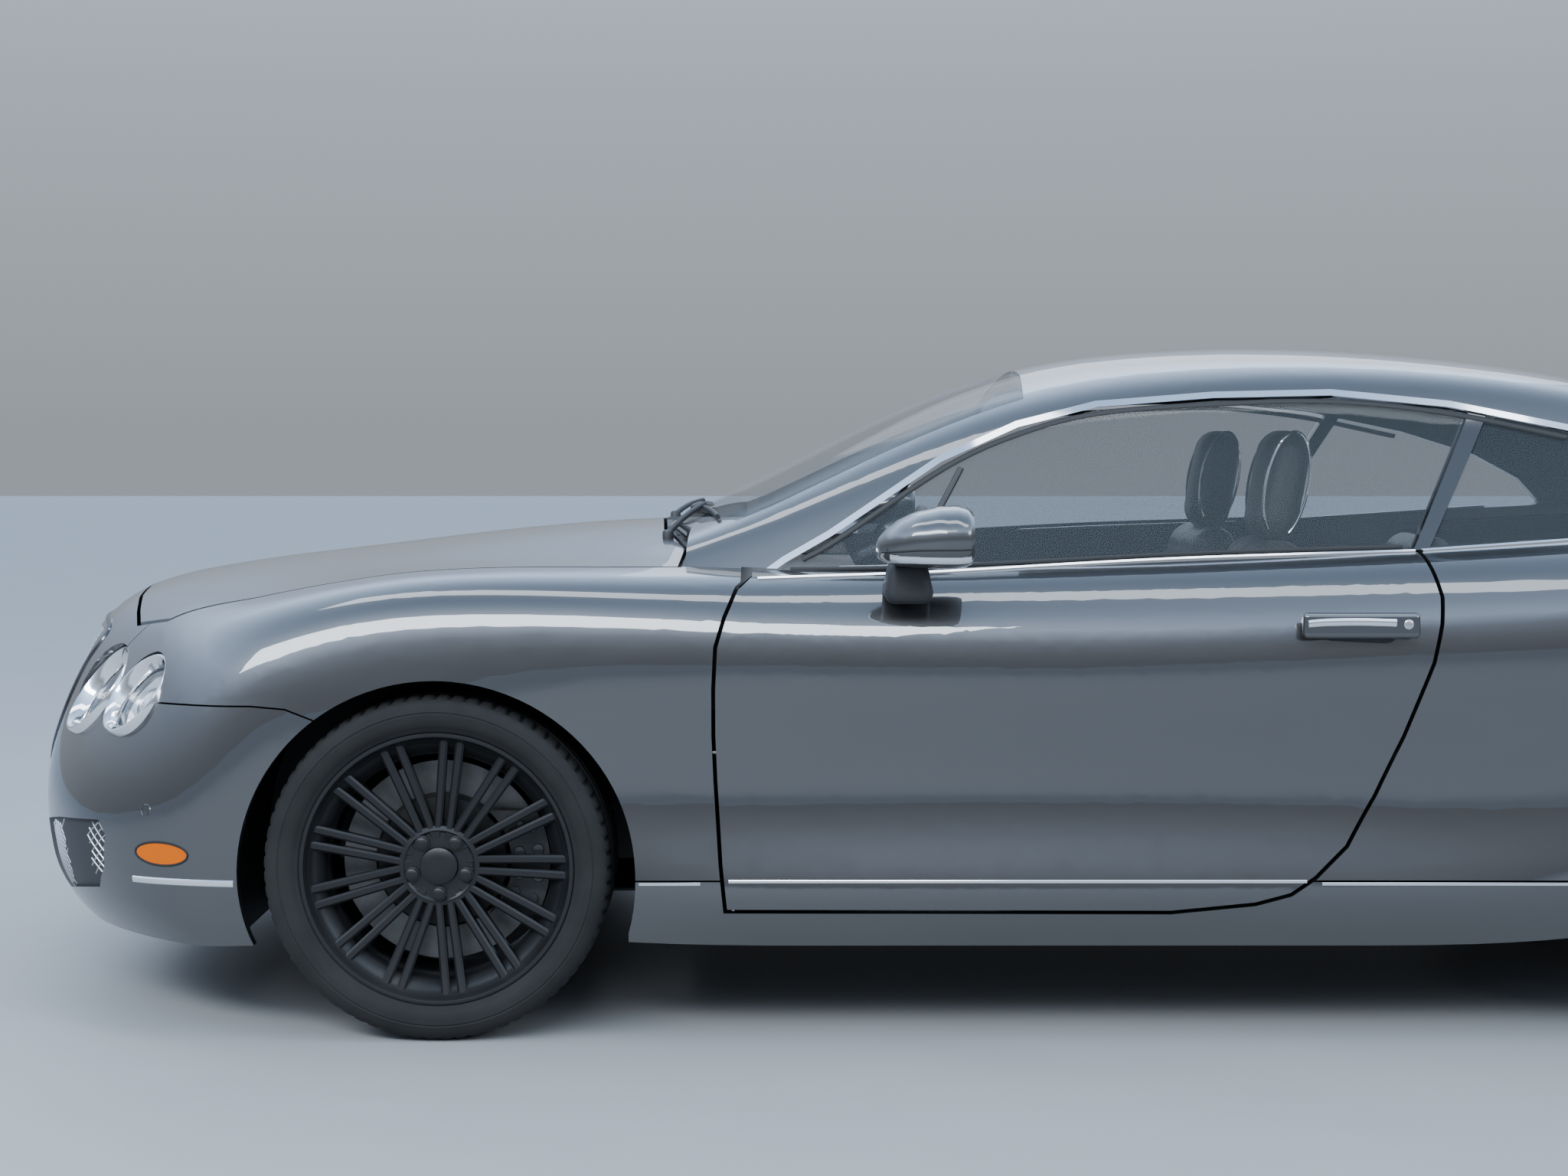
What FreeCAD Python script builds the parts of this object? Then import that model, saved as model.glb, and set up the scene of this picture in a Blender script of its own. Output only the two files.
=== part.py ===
# Two-door grand touring coupe, as separate panels, glass, cabin and running gear.
# Millimetres. The nose points along -X, the left side is at -Y, the ground is Z = 0.
import FreeCAD, Part
import math
import os

os.makedirs("parts", exist_ok=True)
V = FreeCAD.Vector

# Overall sizes
LENGTH = 4804.0
WHEELBASE = 2745.0
FRONT_OVERHANG = 950.0
TRACK_FRONT = 1623.0
TRACK_REAR = 1607.0
FA = -LENGTH / 2 + FRONT_OVERHANG
RA = FA + WHEELBASE

# Wheels and brakes
TYRE_R = 345.0
TYRE_W = 275.0
WHEEL_Z = 345.0
ARCH_R = 395.0
ARCH_Z = 326.0
DISC_R = 202.0
HUB_R = 88.0
SPOKE_PAIRS = 13

# Walls and gaps
SKIN = 26.0
DOOR_WALL = 92.0
ROOF_WALL = 30.0
GLASS = 6.0
GAP = 3.5
DOOR_GAP = 8.0
JAMB_GAP = 20.0
FRONT_PIVOT_Z = 194.0
REAR_PIVOT_Z = 257.0


def box(x0, x1, y0, y1, z0, z1):
    return Part.makeBox(x1 - x0, y1 - y0, z1 - z0, V(x0, y0, z0))


def cyl_y(x, z, r, y0, y1):
    return Part.makeCylinder(r, y1 - y0, V(x, y0, z), V(0, 1, 0))


def cyl_x(y, z, r, x0, x1):
    return Part.makeCylinder(r, x1 - x0, V(x0, y, z), V(1, 0, 0))


def rod(a, b, r):
    d = V(*b) - V(*a)
    return Part.makeCylinder(r, d.Length, V(*a), d)


def mirror(shape):
    return shape.mirror(V(0, 0, 0), V(0, 1, 0))


def side_prism(points, y0, y1):
    """Solid from an outline in the side view, given as (distance behind the front axle, height)."""
    ring = [V(FA + x, y0, z) for x, z in points]
    return Part.Face(Part.makePolygon(ring + ring[:1])).extrude(V(0, y1 - y0, 0))


def plan_prism(points, z0, z1):
    """Solid from an outline in the plan view, given as (distance behind the front axle, y)."""
    ring = [V(FA + x, y, z0) for x, y in points]
    return Part.Face(Part.makePolygon(ring + ring[:1])).extrude(V(0, 0, z1 - z0))


def front_prism(points, x0, x1):
    """Solid from an outline seen along the car, given as (y, z)."""
    ring = [V(x0, y, z) for y, z in points]
    return Part.Face(Part.makePolygon(ring + ring[:1])).extrude(V(x1 - x0, 0, 0))


def lathe_y(points, x, y, z, sign):
    """Turned solid about a line across the car, from (radius, offset outward) pairs."""
    ring = [V(x + r, y + sign * a, z) for r, a in points]
    face = Part.Face(Part.makePolygon(ring + ring[:1]))
    return face.revolve(V(x, y, z), V(0, 1, 0), 360)


def inset(points, t):
    """Move an open section line inward by t, square to the line."""
    out = []
    for i, (y, z) in enumerate(points):
        a = points[max(i - 1, 0)]
        b = points[min(i + 1, len(points) - 1)]
        dy, dz = b[0] - a[0], b[1] - a[1]
        if i == 0:
            dy = 0.0
        if i == len(points) - 1:
            dy, dz = -1.0, 0.0
        n = math.hypot(dy, dz)
        out.append((y - t * dz / n, z + t * dy / n))
    out[-1] = (0.0, out[-1][1])
    return out


def knots(n):
    return [float(i) for i in range(n - 2)], [4] + [1] * (n - 4) + [4]


def skin_solid(rows):
    """Closed solid under one smooth surface whose poles are the rows."""
    ku, mu = knots(len(rows))
    kv, mv = knots(len(rows[0]))
    s = Part.BSplineSurface()
    s.buildFromPolesMultsKnots(rows, mu, mv, ku, kv, False, False, 3, 3)
    top = s.toShape()
    left = s.vIso(kv[0])
    right = s.vIso(kv[-1])
    base = Part.makeRuledSurface(left.toShape(), right.toShape())
    faces = [top, base]
    for u in (ku[0], ku[-1]):
        c = s.uIso(u)
        a = c.value(c.FirstParameter)
        b = c.value(c.LastParameter)
        faces.append(Part.Face(Part.Wire([c.toShape(), Part.LineSegment(b, a).toShape()])))
    shell = Part.makeShell(faces)
    shell.sewShape()
    solid = Part.Solid(shell)
    if solid.Volume < 0:
        solid.reverse()
    return solid


# Lower body. Fan rows turn about a line across the car under each axle: angle, half width at the
# wheel, then six (half width, distance from that line) poles out to the centre line.
FAN_FEET = (40.0, 140.0, 240.0, 340.0, 450.0)
FRONT_FAN = [
    (-1.2, 905, (896, 480), (845, 555), (738, 670), (560, 803), (330, 865), (0, 874)),
    (3, 915, (908, 495), (862, 595), (745, 736), (562, 866), (330, 931), (0, 936)),
    (9, 924, (918, 515), (872, 628), (752, 772), (565, 892), (330, 966), (0, 971)),
    (16, 932, (926, 535), (876, 652), (752, 806), (565, 924), (330, 1004), (0, 1005)),
    (24, 937, (932, 560), (876, 678), (748, 810), (562, 923), (330, 1015), (0, 1047)),
    (32, 941, (936, 582), (875, 690), (745, 801), (560, 905), (330, 1043), (0, 1084)),
    (40, 944, (938, 600), (876, 698), (748, 797), (562, 903), (330, 1022), (0, 1051)),
    (48, 947, (940, 612), (885, 704), (775, 799), (600, 882), (330, 927), (0, 953)),
    (58, 951, (946, 610), (905, 704), (820, 770), (640, 799), (330, 839), (0, 869)),
    (72, 955, (952, 575), (925, 685), (840, 740), (640, 751), (330, 776), (0, 795)),
    (90, 957, (957, 565), (935, 690), (850, 742), (640, 742), (330, 775), (0, 786)),
]
# Between the axles: distance behind the front axle, then eleven (half width, height) poles.
MID = [
    (420, (935, 192), (966, 272), (962, 332), (930, 454), (938, 624), (950, 744),
     (932, 872), (845, 926), (640, 944), (330, 1001), (0, 1021)),
    (800, (930, 192), (964, 272), (960, 332), (922, 454), (930, 624), (944, 734),
     (930, 838), (870, 910), (780, 928), (500, 980), (0, 1005)),
    (1300, (930, 192), (964, 272), (960, 332), (922, 454), (928, 604), (942, 724),
     (930, 826), (875, 910), (780, 949), (500, 980), (0, 1005)),
    (1800, (930, 192), (964, 272), (960, 332), (924, 454), (932, 614), (948, 739),
     (938, 848), (875, 934), (780, 968), (500, 990), (0, 1010)),
    (2250, (930, 192), (962, 272), (960, 332), (935, 454), (944, 624), (958, 759),
     (950, 880), (875, 964), (780, 988), (500, 1005), (0, 1020)),
]
REAR_FAN = [
    (90, 962, (962, 560), (950, 660), (865, 745), (760, 765), (420, 800), (0, 815)),
    (68, 962, (960, 600), (945, 700), (865, 785), (760, 815), (420, 865), (0, 880)),
    (54, 955, (950, 640), (925, 760), (850, 860), (730, 905), (400, 955), (0, 972)),
    (45, 948, (938, 680), (905, 815), (825, 935), (690, 1005), (380, 1065), (0, 1085)),
    (38, 940, (928, 690), (890, 850), (800, 1000), (650, 1110), (350, 1195), (0, 1222)),
    (31, 935, (922, 690), (880, 850), (790, 1010), (650, 1140), (340, 1235), (0, 1262)),
    (23, 930, (918, 680), (878, 835), (790, 990), (650, 1105), (330, 1175), (0, 1195)),
    (15, 928, (916, 680), (880, 830), (800, 970), (650, 1080), (330, 1145), (0, 1160)),
    (7, 922, (910, 680), (875, 820), (795, 950), (640, 1050), (320, 1100), (0, 1112)),
    (0, 905, (893, 660), (855, 780), (775, 890), (620, 970), (310, 1010), (0, 1020)),
]


def spread(points):
    """Full row of section poles, left side first."""
    return [(-y, z) for y, z in points] + [(y, z) for y, z in reversed(points[:-1])]


def hull(t):
    rows = []
    for fan, px, pz, sign in ((FRONT_FAN, FA, FRONT_PIVOT_Z, -1), (REAR_FAN, RA, REAR_PIVOT_Z, 1)):
        part = []
        for row in fan:
            c, s = math.cos(math.radians(row[0])), math.sin(math.radians(row[0]))
            points = inset([(row[1], r) for r in FAN_FEET] + list(row[2:]), t)
            part.append([V(px + sign * r * c, y, pz + r * s) for y, r in spread(points)])
        rows.append(part)
    middle = []
    for row in MID:
        points = inset(list(row[1:]), t)
        middle.append([V(FA + row[0], y, z) for y, z in spread(points)])
    return skin_solid(rows[0] + middle + rows[1])


# Glasshouse: distance behind the front axle, then eight (half width, height) poles up to the roof.
GLASSHOUSE = [
    (250, (760, 814), (740, 854), (720, 884), (700, 904), (660, 917), (520, 918), (260, 922), (0, 923)),
    (500, (790, 834), (765, 894), (740, 936), (716, 969), (672, 989), (540, 1010), (270, 1030), (0, 1037)),
    (720, (805, 864), (778, 929), (748, 989), (716, 1046), (670, 1080), (540, 1113), (270, 1138), (0, 1145)),
    (960, (812, 874), (787, 942), (747, 1039), (708, 1129), (655, 1188), (530, 1226), (265, 1260), (0, 1270)),
    (1220, (815, 884), (790, 954), (738, 1079), (690, 1199), (632, 1274), (510, 1318), (255, 1355), (0, 1366)),
    (1520, (815, 894), (792, 964), (732, 1106), (676, 1242), (615, 1318), (490, 1358), (245, 1390), (0, 1400)),
    (1820, (815, 904), (792, 972), (731, 1118), (673, 1258), (610, 1335), (480, 1368), (240, 1396), (0, 1405)),
    (2120, (812, 914), (788, 979), (728, 1118), (672, 1250), (610, 1324), (480, 1352), (240, 1377), (0, 1385)),
    (2420, (805, 924), (778, 989), (724, 1104), (672, 1219), (610, 1286), (480, 1313), (240, 1341), (0, 1350)),
    (2720, (790, 934), (762, 996), (714, 1079), (668, 1164), (608, 1220), (480, 1243), (240, 1268), (0, 1275)),
    (3000, (760, 944), (735, 999), (700, 1049), (655, 1104), (598, 1144), (470, 1157), (235, 1177), (0, 1182)),
    (3250, (720, 924), (700, 962), (670, 996), (630, 1026), (575, 1050), (450, 1052), (225, 1064), (0, 1069)),
    (3480, (680, 830), (660, 858), (635, 878), (600, 892), (545, 900), (430, 893), (215, 896), (0, 898)),
]


def glasshouse(t):
    rows = []
    for row in GLASSHOUSE:
        points = inset(list(row[1:]), t)
        rows.append([V(FA + row[0], y, z) for y, z in spread(points)])
    return skin_solid(rows)


# Side-view outlines, as (distance behind the front axle, height)
DOOR = [(623, 918), (596, 895), (573, 842), (556, 785), (552, 704), (552, 610), (556, 515), (566, 358), (575, 269),
        (1449, 267), (1614, 284), (1683, 303), (1730, 335), (1793, 395), (1849, 494), (1903, 612), (1957, 757),
        (1973, 832), (1978, 883), (1970, 932), (1962, 975), (1962, 1124), (623, 1124)]


def grow(points, d):
    """Outline moved outward by d with mitred corners, or inward where d is negative."""
    n = len(points)
    area = sum(points[i][0] * points[(i + 1) % n][1] - points[(i + 1) % n][0] * points[i][1] for i in range(n))
    d = d if area > 0 else -d
    out = []
    for i in range(n):
        (x0, y0), (x1, y1), (x2, y2) = points[i - 1], points[i], points[(i + 1) % n]
        la, lb = math.hypot(x1 - x0, y1 - y0), math.hypot(x2 - x1, y2 - y1)
        na = ((y1 - y0) / la, -(x1 - x0) / la)
        nb = ((y2 - y1) / lb, -(x2 - x1) / lb)
        k = d / (1.0 + na[0] * nb[0] + na[1] * nb[1])
        out.append((x1 + k * (na[0] + nb[0]), y1 + k * (na[1] + nb[1])))
    return out


def widen(points, d, y0, y1):
    return side_prism(grow(points, d), y0, y1)


def span(x0, x1, y0=-1200.0, y1=1200.0, z0=0.0, z1=2000.0):
    """Box with its length given from the front axle."""
    return box(FA + x0, FA + x1, y0, y1, z0, z1)


def largest(shape):
    return max(shape.Solids, key=lambda s: s.Volume)


def pair(name, left):
    parts[name + "_left"] = left
    parts[name + "_right"] = mirror(left)


def both(shape):
    return Part.makeCompound(shape.Solids + mirror(shape).Solids)


def ring_plan(points):
    return points + [(x, -y) for x, y in reversed(points) if y > 0.0]


# Side-view lines: distance behind the front axle, height
BUMPER_TOP = [(-1200, 656), (-640, 658), (-500, 664), (-363, 667), (-294, 662), (-238, 641), (-200, 560), (-200, 90),
              (-1200, 90)]
REAR_BUMPER = [(3040, 584), (3150, 664), (3420, 692), (4100, 692), (4100, 90), (3040, 90)]
SILL = [(380, 120), (2340, 120), (2340, 324), (380, 324)]
SIDE_WINDOW = [(652, 916), (690, 943), (782, 995), (1009, 1146), (1171, 1218), (1335, 1259), (1578, 1278), (1821, 1283),
               (2062, 1259), (2303, 1210), (2500, 1150), (2625, 1086), (2690, 1024), (2600, 940), (2250, 900), (652, 850)]
BELT = [(618, 904), (1004, 918), (1478, 943), (1968, 958), (2269, 978), (2600, 1000)]
# Rear edge of the door glass, then the dark bar behind it: two lines that lean back
BAR = [(1964, 981), (2087, 1222), (2125, 1222), (1995, 981)]
BAR_GLASS_GAP = 5.0
BAR_SEAT = 2.0
# In plan the door's rear shut face slants, so that its inner edge swings clear of the body
DOOR_PLAN = [(300, 480), (1884, 480), (2038, 1100), (300, 1100)]
# Plan-view lines: distance behind the front axle, y
BONNET = [(-765, 0), (-760, 150), (-742, 300), (-713, 430), (-692, 506), (-600, 608), (-400, 690), (-200, 728), (0, 742),
          (300, 750), (470, 742), (476, 560), (420, 300), (404, 0)]
LID = [(3300, 0), (3300, 560), (3330, 610), (3480, 640), (3640, 650), (3790, 655), (4100, 655), (4100, 0)]
WINDSCREEN = [(430, 0), (452, 300), (512, 560), (590, 665), (660, 662), (1190, 575), (1210, 300), (1218, 0)]
BACKLIGHT = [(2450, 0), (2460, 300), (2480, 520), (3120, 540), (3170, 300), (3180, 0)]
ROOF_START = 415.0
# Opening in the body under the glasshouse, in from its foot
CABIN_TOP = [(1400, 0), (1400, 745), (2600, 745), (2850, 722), (3050, 688), (3160, 655), (3235, 600), (3235, 0)]
# What stands over the door's top edge leaves DOOR_RISE for its swing
DOOR_RISE = 2.5
# Front-view lines: y, height
GRILLE = [(-340, 500), (340, 500), (388, 580), (392, 700), (350, 776), (-350, 776), (-392, 700), (-388, 580)]
INTAKE_MID = [(-430, 218), (430, 218), (442, 300), (425, 378), (-425, 378), (-442, 300)]
INTAKE_SIDE = [(-776, 280), (-595, 245), (-492, 222), (-482, 374), (-644, 403), (-799, 422), (-819, 395), (-810, 331)]
TAIL_LAMP = [(-862, 794), (-800, 874), (-640, 889), (-560, 824), (-620, 759), (-800, 739)]
MARKER = [(-551 + 56 * math.cos(math.radians(a)), 371 + 21 * math.sin(math.radians(a))) for a in range(0, 360, 18)]
# Round lamps: distance behind the front axle, y, height, radius, direction they look in
LAMPS = [(-771, -560, 666, 100, (-0.70, -0.38, 0.60)), (-645, -732, 675, 89, (-0.62, -0.50, 0.60))]

parts = {}
outer = hull(0)
inner = hull(SKIN)
deep = hull(DOOR_WALL)
house = glasshouse(0)
house_inner = glasshouse(ROOF_WALL)

wheel_room = Part.makeCompound([cyl_y(axle, ARCH_Z, ARCH_R, -1100, 1100) for axle in (FA, RA)])
skin = outer.cut(inner).cut(wheel_room)
wall = outer.cut(deep).cut(wheel_room)
left = box(-3000, 3000, -1200, 0, 0, 2000)


def door_plan(d):
    """The door's outline in plan, grown by d."""
    return plan_prism([(x, -y) for x, y in grow(DOOR_PLAN, d)], 0, 1300)


door_block = side_prism(DOOR, -1100, -500).common(door_plan(0))
door_room = widen(DOOR, DOOR_GAP, -1100, -480).common(door_plan(DOOR_GAP))
door_rooms = both(door_room)
jamb_rooms = both(widen(DOOR, JAMB_GAP, -1100, -480))

# Bonnet and the hole it closes
bonnet_block = plan_prism(ring_plan(BONNET), 700, 1300)
bonnet_room = plan_prism(grow(ring_plan(BONNET), DOOR_GAP), 660, 1300)
roof_room = plan_prism(grow(ring_plan(BONNET), 2 * DOOR_GAP), 660, 1300)
BONNET_LAMP_GAP = 12.0

# Nose, front wings and cowl
openings = [front_prism(p, FA - 1200, FA - 500) for p in (GRILLE, INTAKE_MID, INTAKE_SIDE)]
openings.append(mirror(openings[2]))


def lamp_core(lamp, r, start, length):
    """Cylinder on the line a lamp looks along, from start behind the skin."""
    x, y, z, _, look = lamp
    ahead = V(*look).normalize()
    return Part.makeCylinder(r, length, V(FA + x, y, z) + ahead * start, ahead)


lamp_holes = both(Part.makeCompound([lamp_core(lamp, lamp[3] + 7, -110, 260) for lamp in LAMPS]))
lamp_rims = both(Part.makeCompound([lamp_core(lamp, lamp[3] + BONNET_LAMP_GAP, -110, 260) for lamp in LAMPS]))
parts["bonnet"] = largest(skin.common(bonnet_block).cut(lamp_rims))
front = skin.common(span(-1200, 600)).cut(bonnet_room).cut(lamp_holes).cut(door_rooms)
nose_panel = span(-1200, -590, -552, 552, 600)
bumper = front.common(side_prism(BUMPER_TOP, -1100, 1100).fuse(nose_panel))
for hole in openings:
    bumper = bumper.cut(hole)
    front = front.cut(hole)
marker = outer.cut(hull(8)).common(side_prism(MARKER, -1100, -600))
parts["side_markers"] = both(largest(marker))
parts["front_bumper"] = largest(bumper.cut(parts["side_markers"]))
wings = front.cut(widen(BUMPER_TOP, GAP, -1100, 1100)).cut(span(-1200, -590 + GAP, -552 - GAP, 552 + GAP, 600))
wings = wings.cut(span(200, 700, z1=324 + GAP))
cowl_zone = span(380, 700, -744, 744)
parts["front_wings"] = both(largest(wings.cut(cowl_zone).common(left)))
parts["cowl"] = largest(wings.common(cowl_zone))

# Doors, sills and rear body
door = wall.common(door_block).cut(span(400, 2000, -745, 745)).cut(span(400, 800, -776, 776, 890))
pair("door", largest(door))
sill_wall = wall.cut(door_rooms).cut(inner.common(jamb_rooms))
parts["sills"] = both(largest(sill_wall.common(side_prism(SILL, -1100, -700))))
thick = wall.common(span(1500, 2340)).common(inner).cut(jamb_rooms)
rear = skin.common(span(1500, 4200)).cut(door_rooms).fuse(thick)
rear = rear.cut(plan_prism(ring_plan(CABIN_TOP), 600, 1300)).cut(span(1400, 2340 + GAP, z1=324 + GAP))
lid_room = plan_prism(grow(ring_plan(LID), DOOR_GAP), 712, 1300)
lamp_room = both(front_prism(TAIL_LAMP, FA + 3300, FA + 4200))
rear_bumper_block = side_prism(REAR_BUMPER, -1100, 1100)
parts["boot_lid"] = largest(skin.common(plan_prism(ring_plan(LID), 720, 1300)))
parts["rear_bumper"] = largest(skin.common(rear_bumper_block))
rear = rear.cut(widen(REAR_BUMPER, GAP, -1100, 1100)).cut(lid_room).cut(lamp_room).common(left)
deck = skin.common(span(3180, 3292, -556, 556, 920))
parts["rear_quarters"] = Part.makeCompound(both(largest(rear)).Solids + [largest(deck)])

# Roof, pillars and glass
side_window = side_prism(SIDE_WINDOW, -1100, -300)
screen = plan_prism(ring_plan(WINDSCREEN), 880, 1500)
backlight = plan_prism(ring_plan(BACKLIGHT), 900, 1500)
roof = house.cut(house_inner).cut(outer).cut(both(side_window)).cut(screen).cut(backlight)
sweep = hull(-DOOR_RISE).common(span(600, 2000))
roof = roof.cut(span(-200, ROOF_START)).cut(lid_room).cut(roof_room).cut(sweep)
parts["roof_and_pillars"] = largest(roof)
glass = house.cut(glasshouse(GLASS)).cut(outer)
parts["windscreen"] = largest(glass.common(screen))
parts["rear_window"] = largest(glass.common(backlight))


def lean(a, b, z, shift=0.0):
    """Point at height z on the line through a and b, moved along the car."""
    return a[0] + (b[0] - a[0]) * (z - a[1]) / (b[1] - a[1]) + shift, z


front_of_bar = side_prism([(500, 800), lean(BAR[0], BAR[1], 800, -BAR_GLASS_GAP), lean(BAR[0], BAR[1], 1300, -BAR_GLASS_GAP),
                           (500, 1300)], -1100, -300)
behind_bar = side_prism([lean(BAR[3], BAR[2], 800, BAR_SEAT), (2800, 800), (2800, 1300),
                         lean(BAR[3], BAR[2], 1300, BAR_SEAT)], -1100, -300)
pair("door_glass", largest(glass.common(widen(SIDE_WINDOW, -6.0, -1100, -300)).common(front_of_bar)))
parts["quarter_glass"] = both(largest(glass.common(side_window).common(behind_bar)))
bar = side_prism([lean(BAR[0], BAR[1], 800), lean(BAR[0], BAR[1], 1300), lean(BAR[3], BAR[2], 1300),
                  lean(BAR[3], BAR[2], 800)], -1100, -300)
parts["window_bars"] = both(largest(house.cut(house_inner).cut(outer).cut(sweep).common(side_window).common(bar)))
proud = glasshouse(-4.0)
rail_zone = widen(SIDE_WINDOW, 13.0, -1100, -300).cut(side_window).cut(side_prism(BELT + [(2600, 600), (500, 600)], -1100,
                                                                                 -300))
parts["window_brightwork"] = both(largest(proud.cut(house).cut(outer).cut(sweep).common(rail_zone)))

# Lamps, grille and intake meshes
lamp_solids = []
for lamp in LAMPS:
    r = lamp[3]
    ahead = V(*lamp[4]).normalize()
    dome = Part.makeSphere(r * 1.7, V(FA + lamp[0], lamp[1], lamp[2]) + ahead * (4 - r * 1.7))
    lens = lamp_core(lamp, r, -60, 64).common(dome)
    lamp_solids.append(lens.fuse(lamp_core(lamp, r + 6.8, -95, 60)))
parts["headlamps"] = both(Part.makeCompound(lamp_solids))
layer = hull(10).cut(hull(SKIN))
meshes = [largest(layer.common(openings[0]).cut(bonnet_room))] + [largest(layer.common(o)) for o in openings[1:]]
parts["grilles"] = Part.makeCompound(meshes)
parts["tail_lamps"] = both(largest(outer.cut(hull(22)).common(front_prism(TAIL_LAMP, FA + 3300, FA + 4200)).cut(lid_room)))
# Mirrors and door handles
MIRROR = [(862, 26, 14, 1008), (872, 62, 34, 1006), (895, 92, 52, 1004), (940, 112, 61, 1004), (1000, 114, 62, 1005),
          (1036, 108, 57, 1006), (1047, 102, 52, 1006)]
wires = []
for x, half_y, half_z, z in MIRROR:
    curve = Part.Ellipse(V(FA + x, -1016, z), half_y, half_z)
    curve.Axis = V(1, 0, 0)
    curve.XAxis = V(0, 1, 0)
    wires.append(Part.Wire([curve.toShape()]))
shell_mirror = Part.makeLoft(wires, True)
stalk = box(FA + 880, FA + 980, -990, -840, 872, 960)
stalk = stalk.makeFillet(22, stalk.Edges)
pair("mirror", shell_mirror.fuse(stalk).cut(outer).cut(house))
handle = box(FA + 1697, FA + 1926, -981, -959, 806, 857)
handle = handle.makeFillet(10.5, handle.Edges)
handle = handle.fuse([box(FA + 1706, FA + 1740, -970, -920, 815, 848), box(FA + 1884, FA + 1918, -970, -920, 815, 848)])
dish = cyl_x(-1001, 834, 70, FA + 1762, FA + 1862).fuse(
    [Part.makeSphere(70, V(FA + 1762, -1001, 834)), Part.makeSphere(70, V(FA + 1862, -1001, 834))])
for side in ("left", "right"):
    hollow = dish if side == "left" else mirror(dish)
    parts["door_" + side] = parts["door_" + side].cut(hollow)
pair("door_handle", largest(handle.cut(parts["door_left"]).cut(deep)))

# Wheels: rim, tyre and brake for one corner, outward offset from the wheel's centre plane
HALF = TYRE_W / 2
TYRE = [(254, -111), (300, -HALF), (TYRE_R - 15, 5 - HALF), (TYRE_R, 34 - HALF), (TYRE_R, HALF - 34),
        (TYRE_R - 15, HALF - 5), (300, HALF), (254, 111)]
BARREL = [(253.5, -111.5), (271, -121.6), (271, -126), (262, -126), (246, -113), (229, -94), (221, 72), (246, 106),
          (262, 126), (271, 126), (271, 121.6), (253.5, 111.5), (228, 74), (236, -90)]
# The wheel turns on a spindle that leaves RUN all round, in a bore through the disc and into the hub
SPINDLE_R = 22.0
RUN = 0.3
HUB = [(SPINDLE_R + RUN, 29.5), (HUB_R, 29.5), (HUB_R, 52), (60, 84), (38, 92), (0, 96), (0, 70), (SPINDLE_R + RUN, 70)]
DISC = [(70, -24), (DISC_R, -24), (DISC_R, 10), (135, 10), (130, 29.5), (SPINDLE_R + RUN, 29.5), (SPINDLE_R + RUN, 20),
        (70, 20)]
KINGPIN_R = 24.0
KINGPIN_IN = 86.0


def rim(x, y, sign):
    solids = [lathe_y(BARREL, x, y, WHEEL_Z, sign), lathe_y(HUB, x, y, WHEEL_Z, sign)]
    profile = [(56, 40), (56, 84), (150, 92), (240, 103), (252, 106), (252, 92), (236, 78), (150, 66)]
    for k in range(SPOKE_PAIRS):
        for offset in (-13.0, 13.0):
            ring = [V(x + r, y + sign * a, WHEEL_Z + offset - 4.5) for r, a in profile]
            spoke = Part.Face(Part.makePolygon(ring + ring[:1])).extrude(V(0, 0, 9))
            spoke.rotate(V(x, y, WHEEL_Z), V(0, 1, 0), 360.0 / SPOKE_PAIRS * k)
            solids.append(spoke)
    return solids[0].fuse(solids[1:])


def caliper(x, y, sign, side):
    c = lathe_y([(141, -58), (218, -58), (218, 48), (141, 48)], x, y, WHEEL_Z, sign)
    c = c.cut(lathe_y([(0, -30), (DISC_R + 6, -30), (DISC_R + 6, 16), (0, 16)], x, y, WHEEL_Z, sign))
    zone = box(60, 240, -200, 200, -105, 105)
    zone.translate(V(x, y, WHEEL_Z))
    if side < 0:
        zone = zone.mirror(V(x, y, WHEEL_Z), V(1, 0, 0))
    return largest(c.common(zone))


for end, axle, track, side in (("front", FA, TRACK_FRONT, 1), ("rear", RA, TRACK_REAR, -1)):
    y = -track / 2
    pair("rim_" + end, rim(axle, y, -1))
    pair("tyre_" + end, lathe_y(TYRE, axle, y, WHEEL_Z, -1))
    pair("brake_disc_" + end, lathe_y(DISC, axle, y, WHEEL_Z, -1))
    carrier = cyl_y(axle, WHEEL_Z, 62, y - 14, y + 110)
    spindle = cyl_y(axle, WHEEL_Z, SPINDLE_R, y - 65, y)
    arm = Part.makeCylinder(KINGPIN_R, 330, V(axle, y + KINGPIN_IN, 200))
    hold = box(min(axle, axle + side * 165), max(axle, axle + side * 165), y + 50, y + 84, WHEEL_Z - 30,
               WHEEL_Z + 30)
    corner = carrier.fuse([spindle, arm, hold, caliper(axle, y, -1, side)])
    if end == "front":
        pair("knuckle_front", corner)
    else:
        parts["carriers_rear"] = both(corner)

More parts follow.
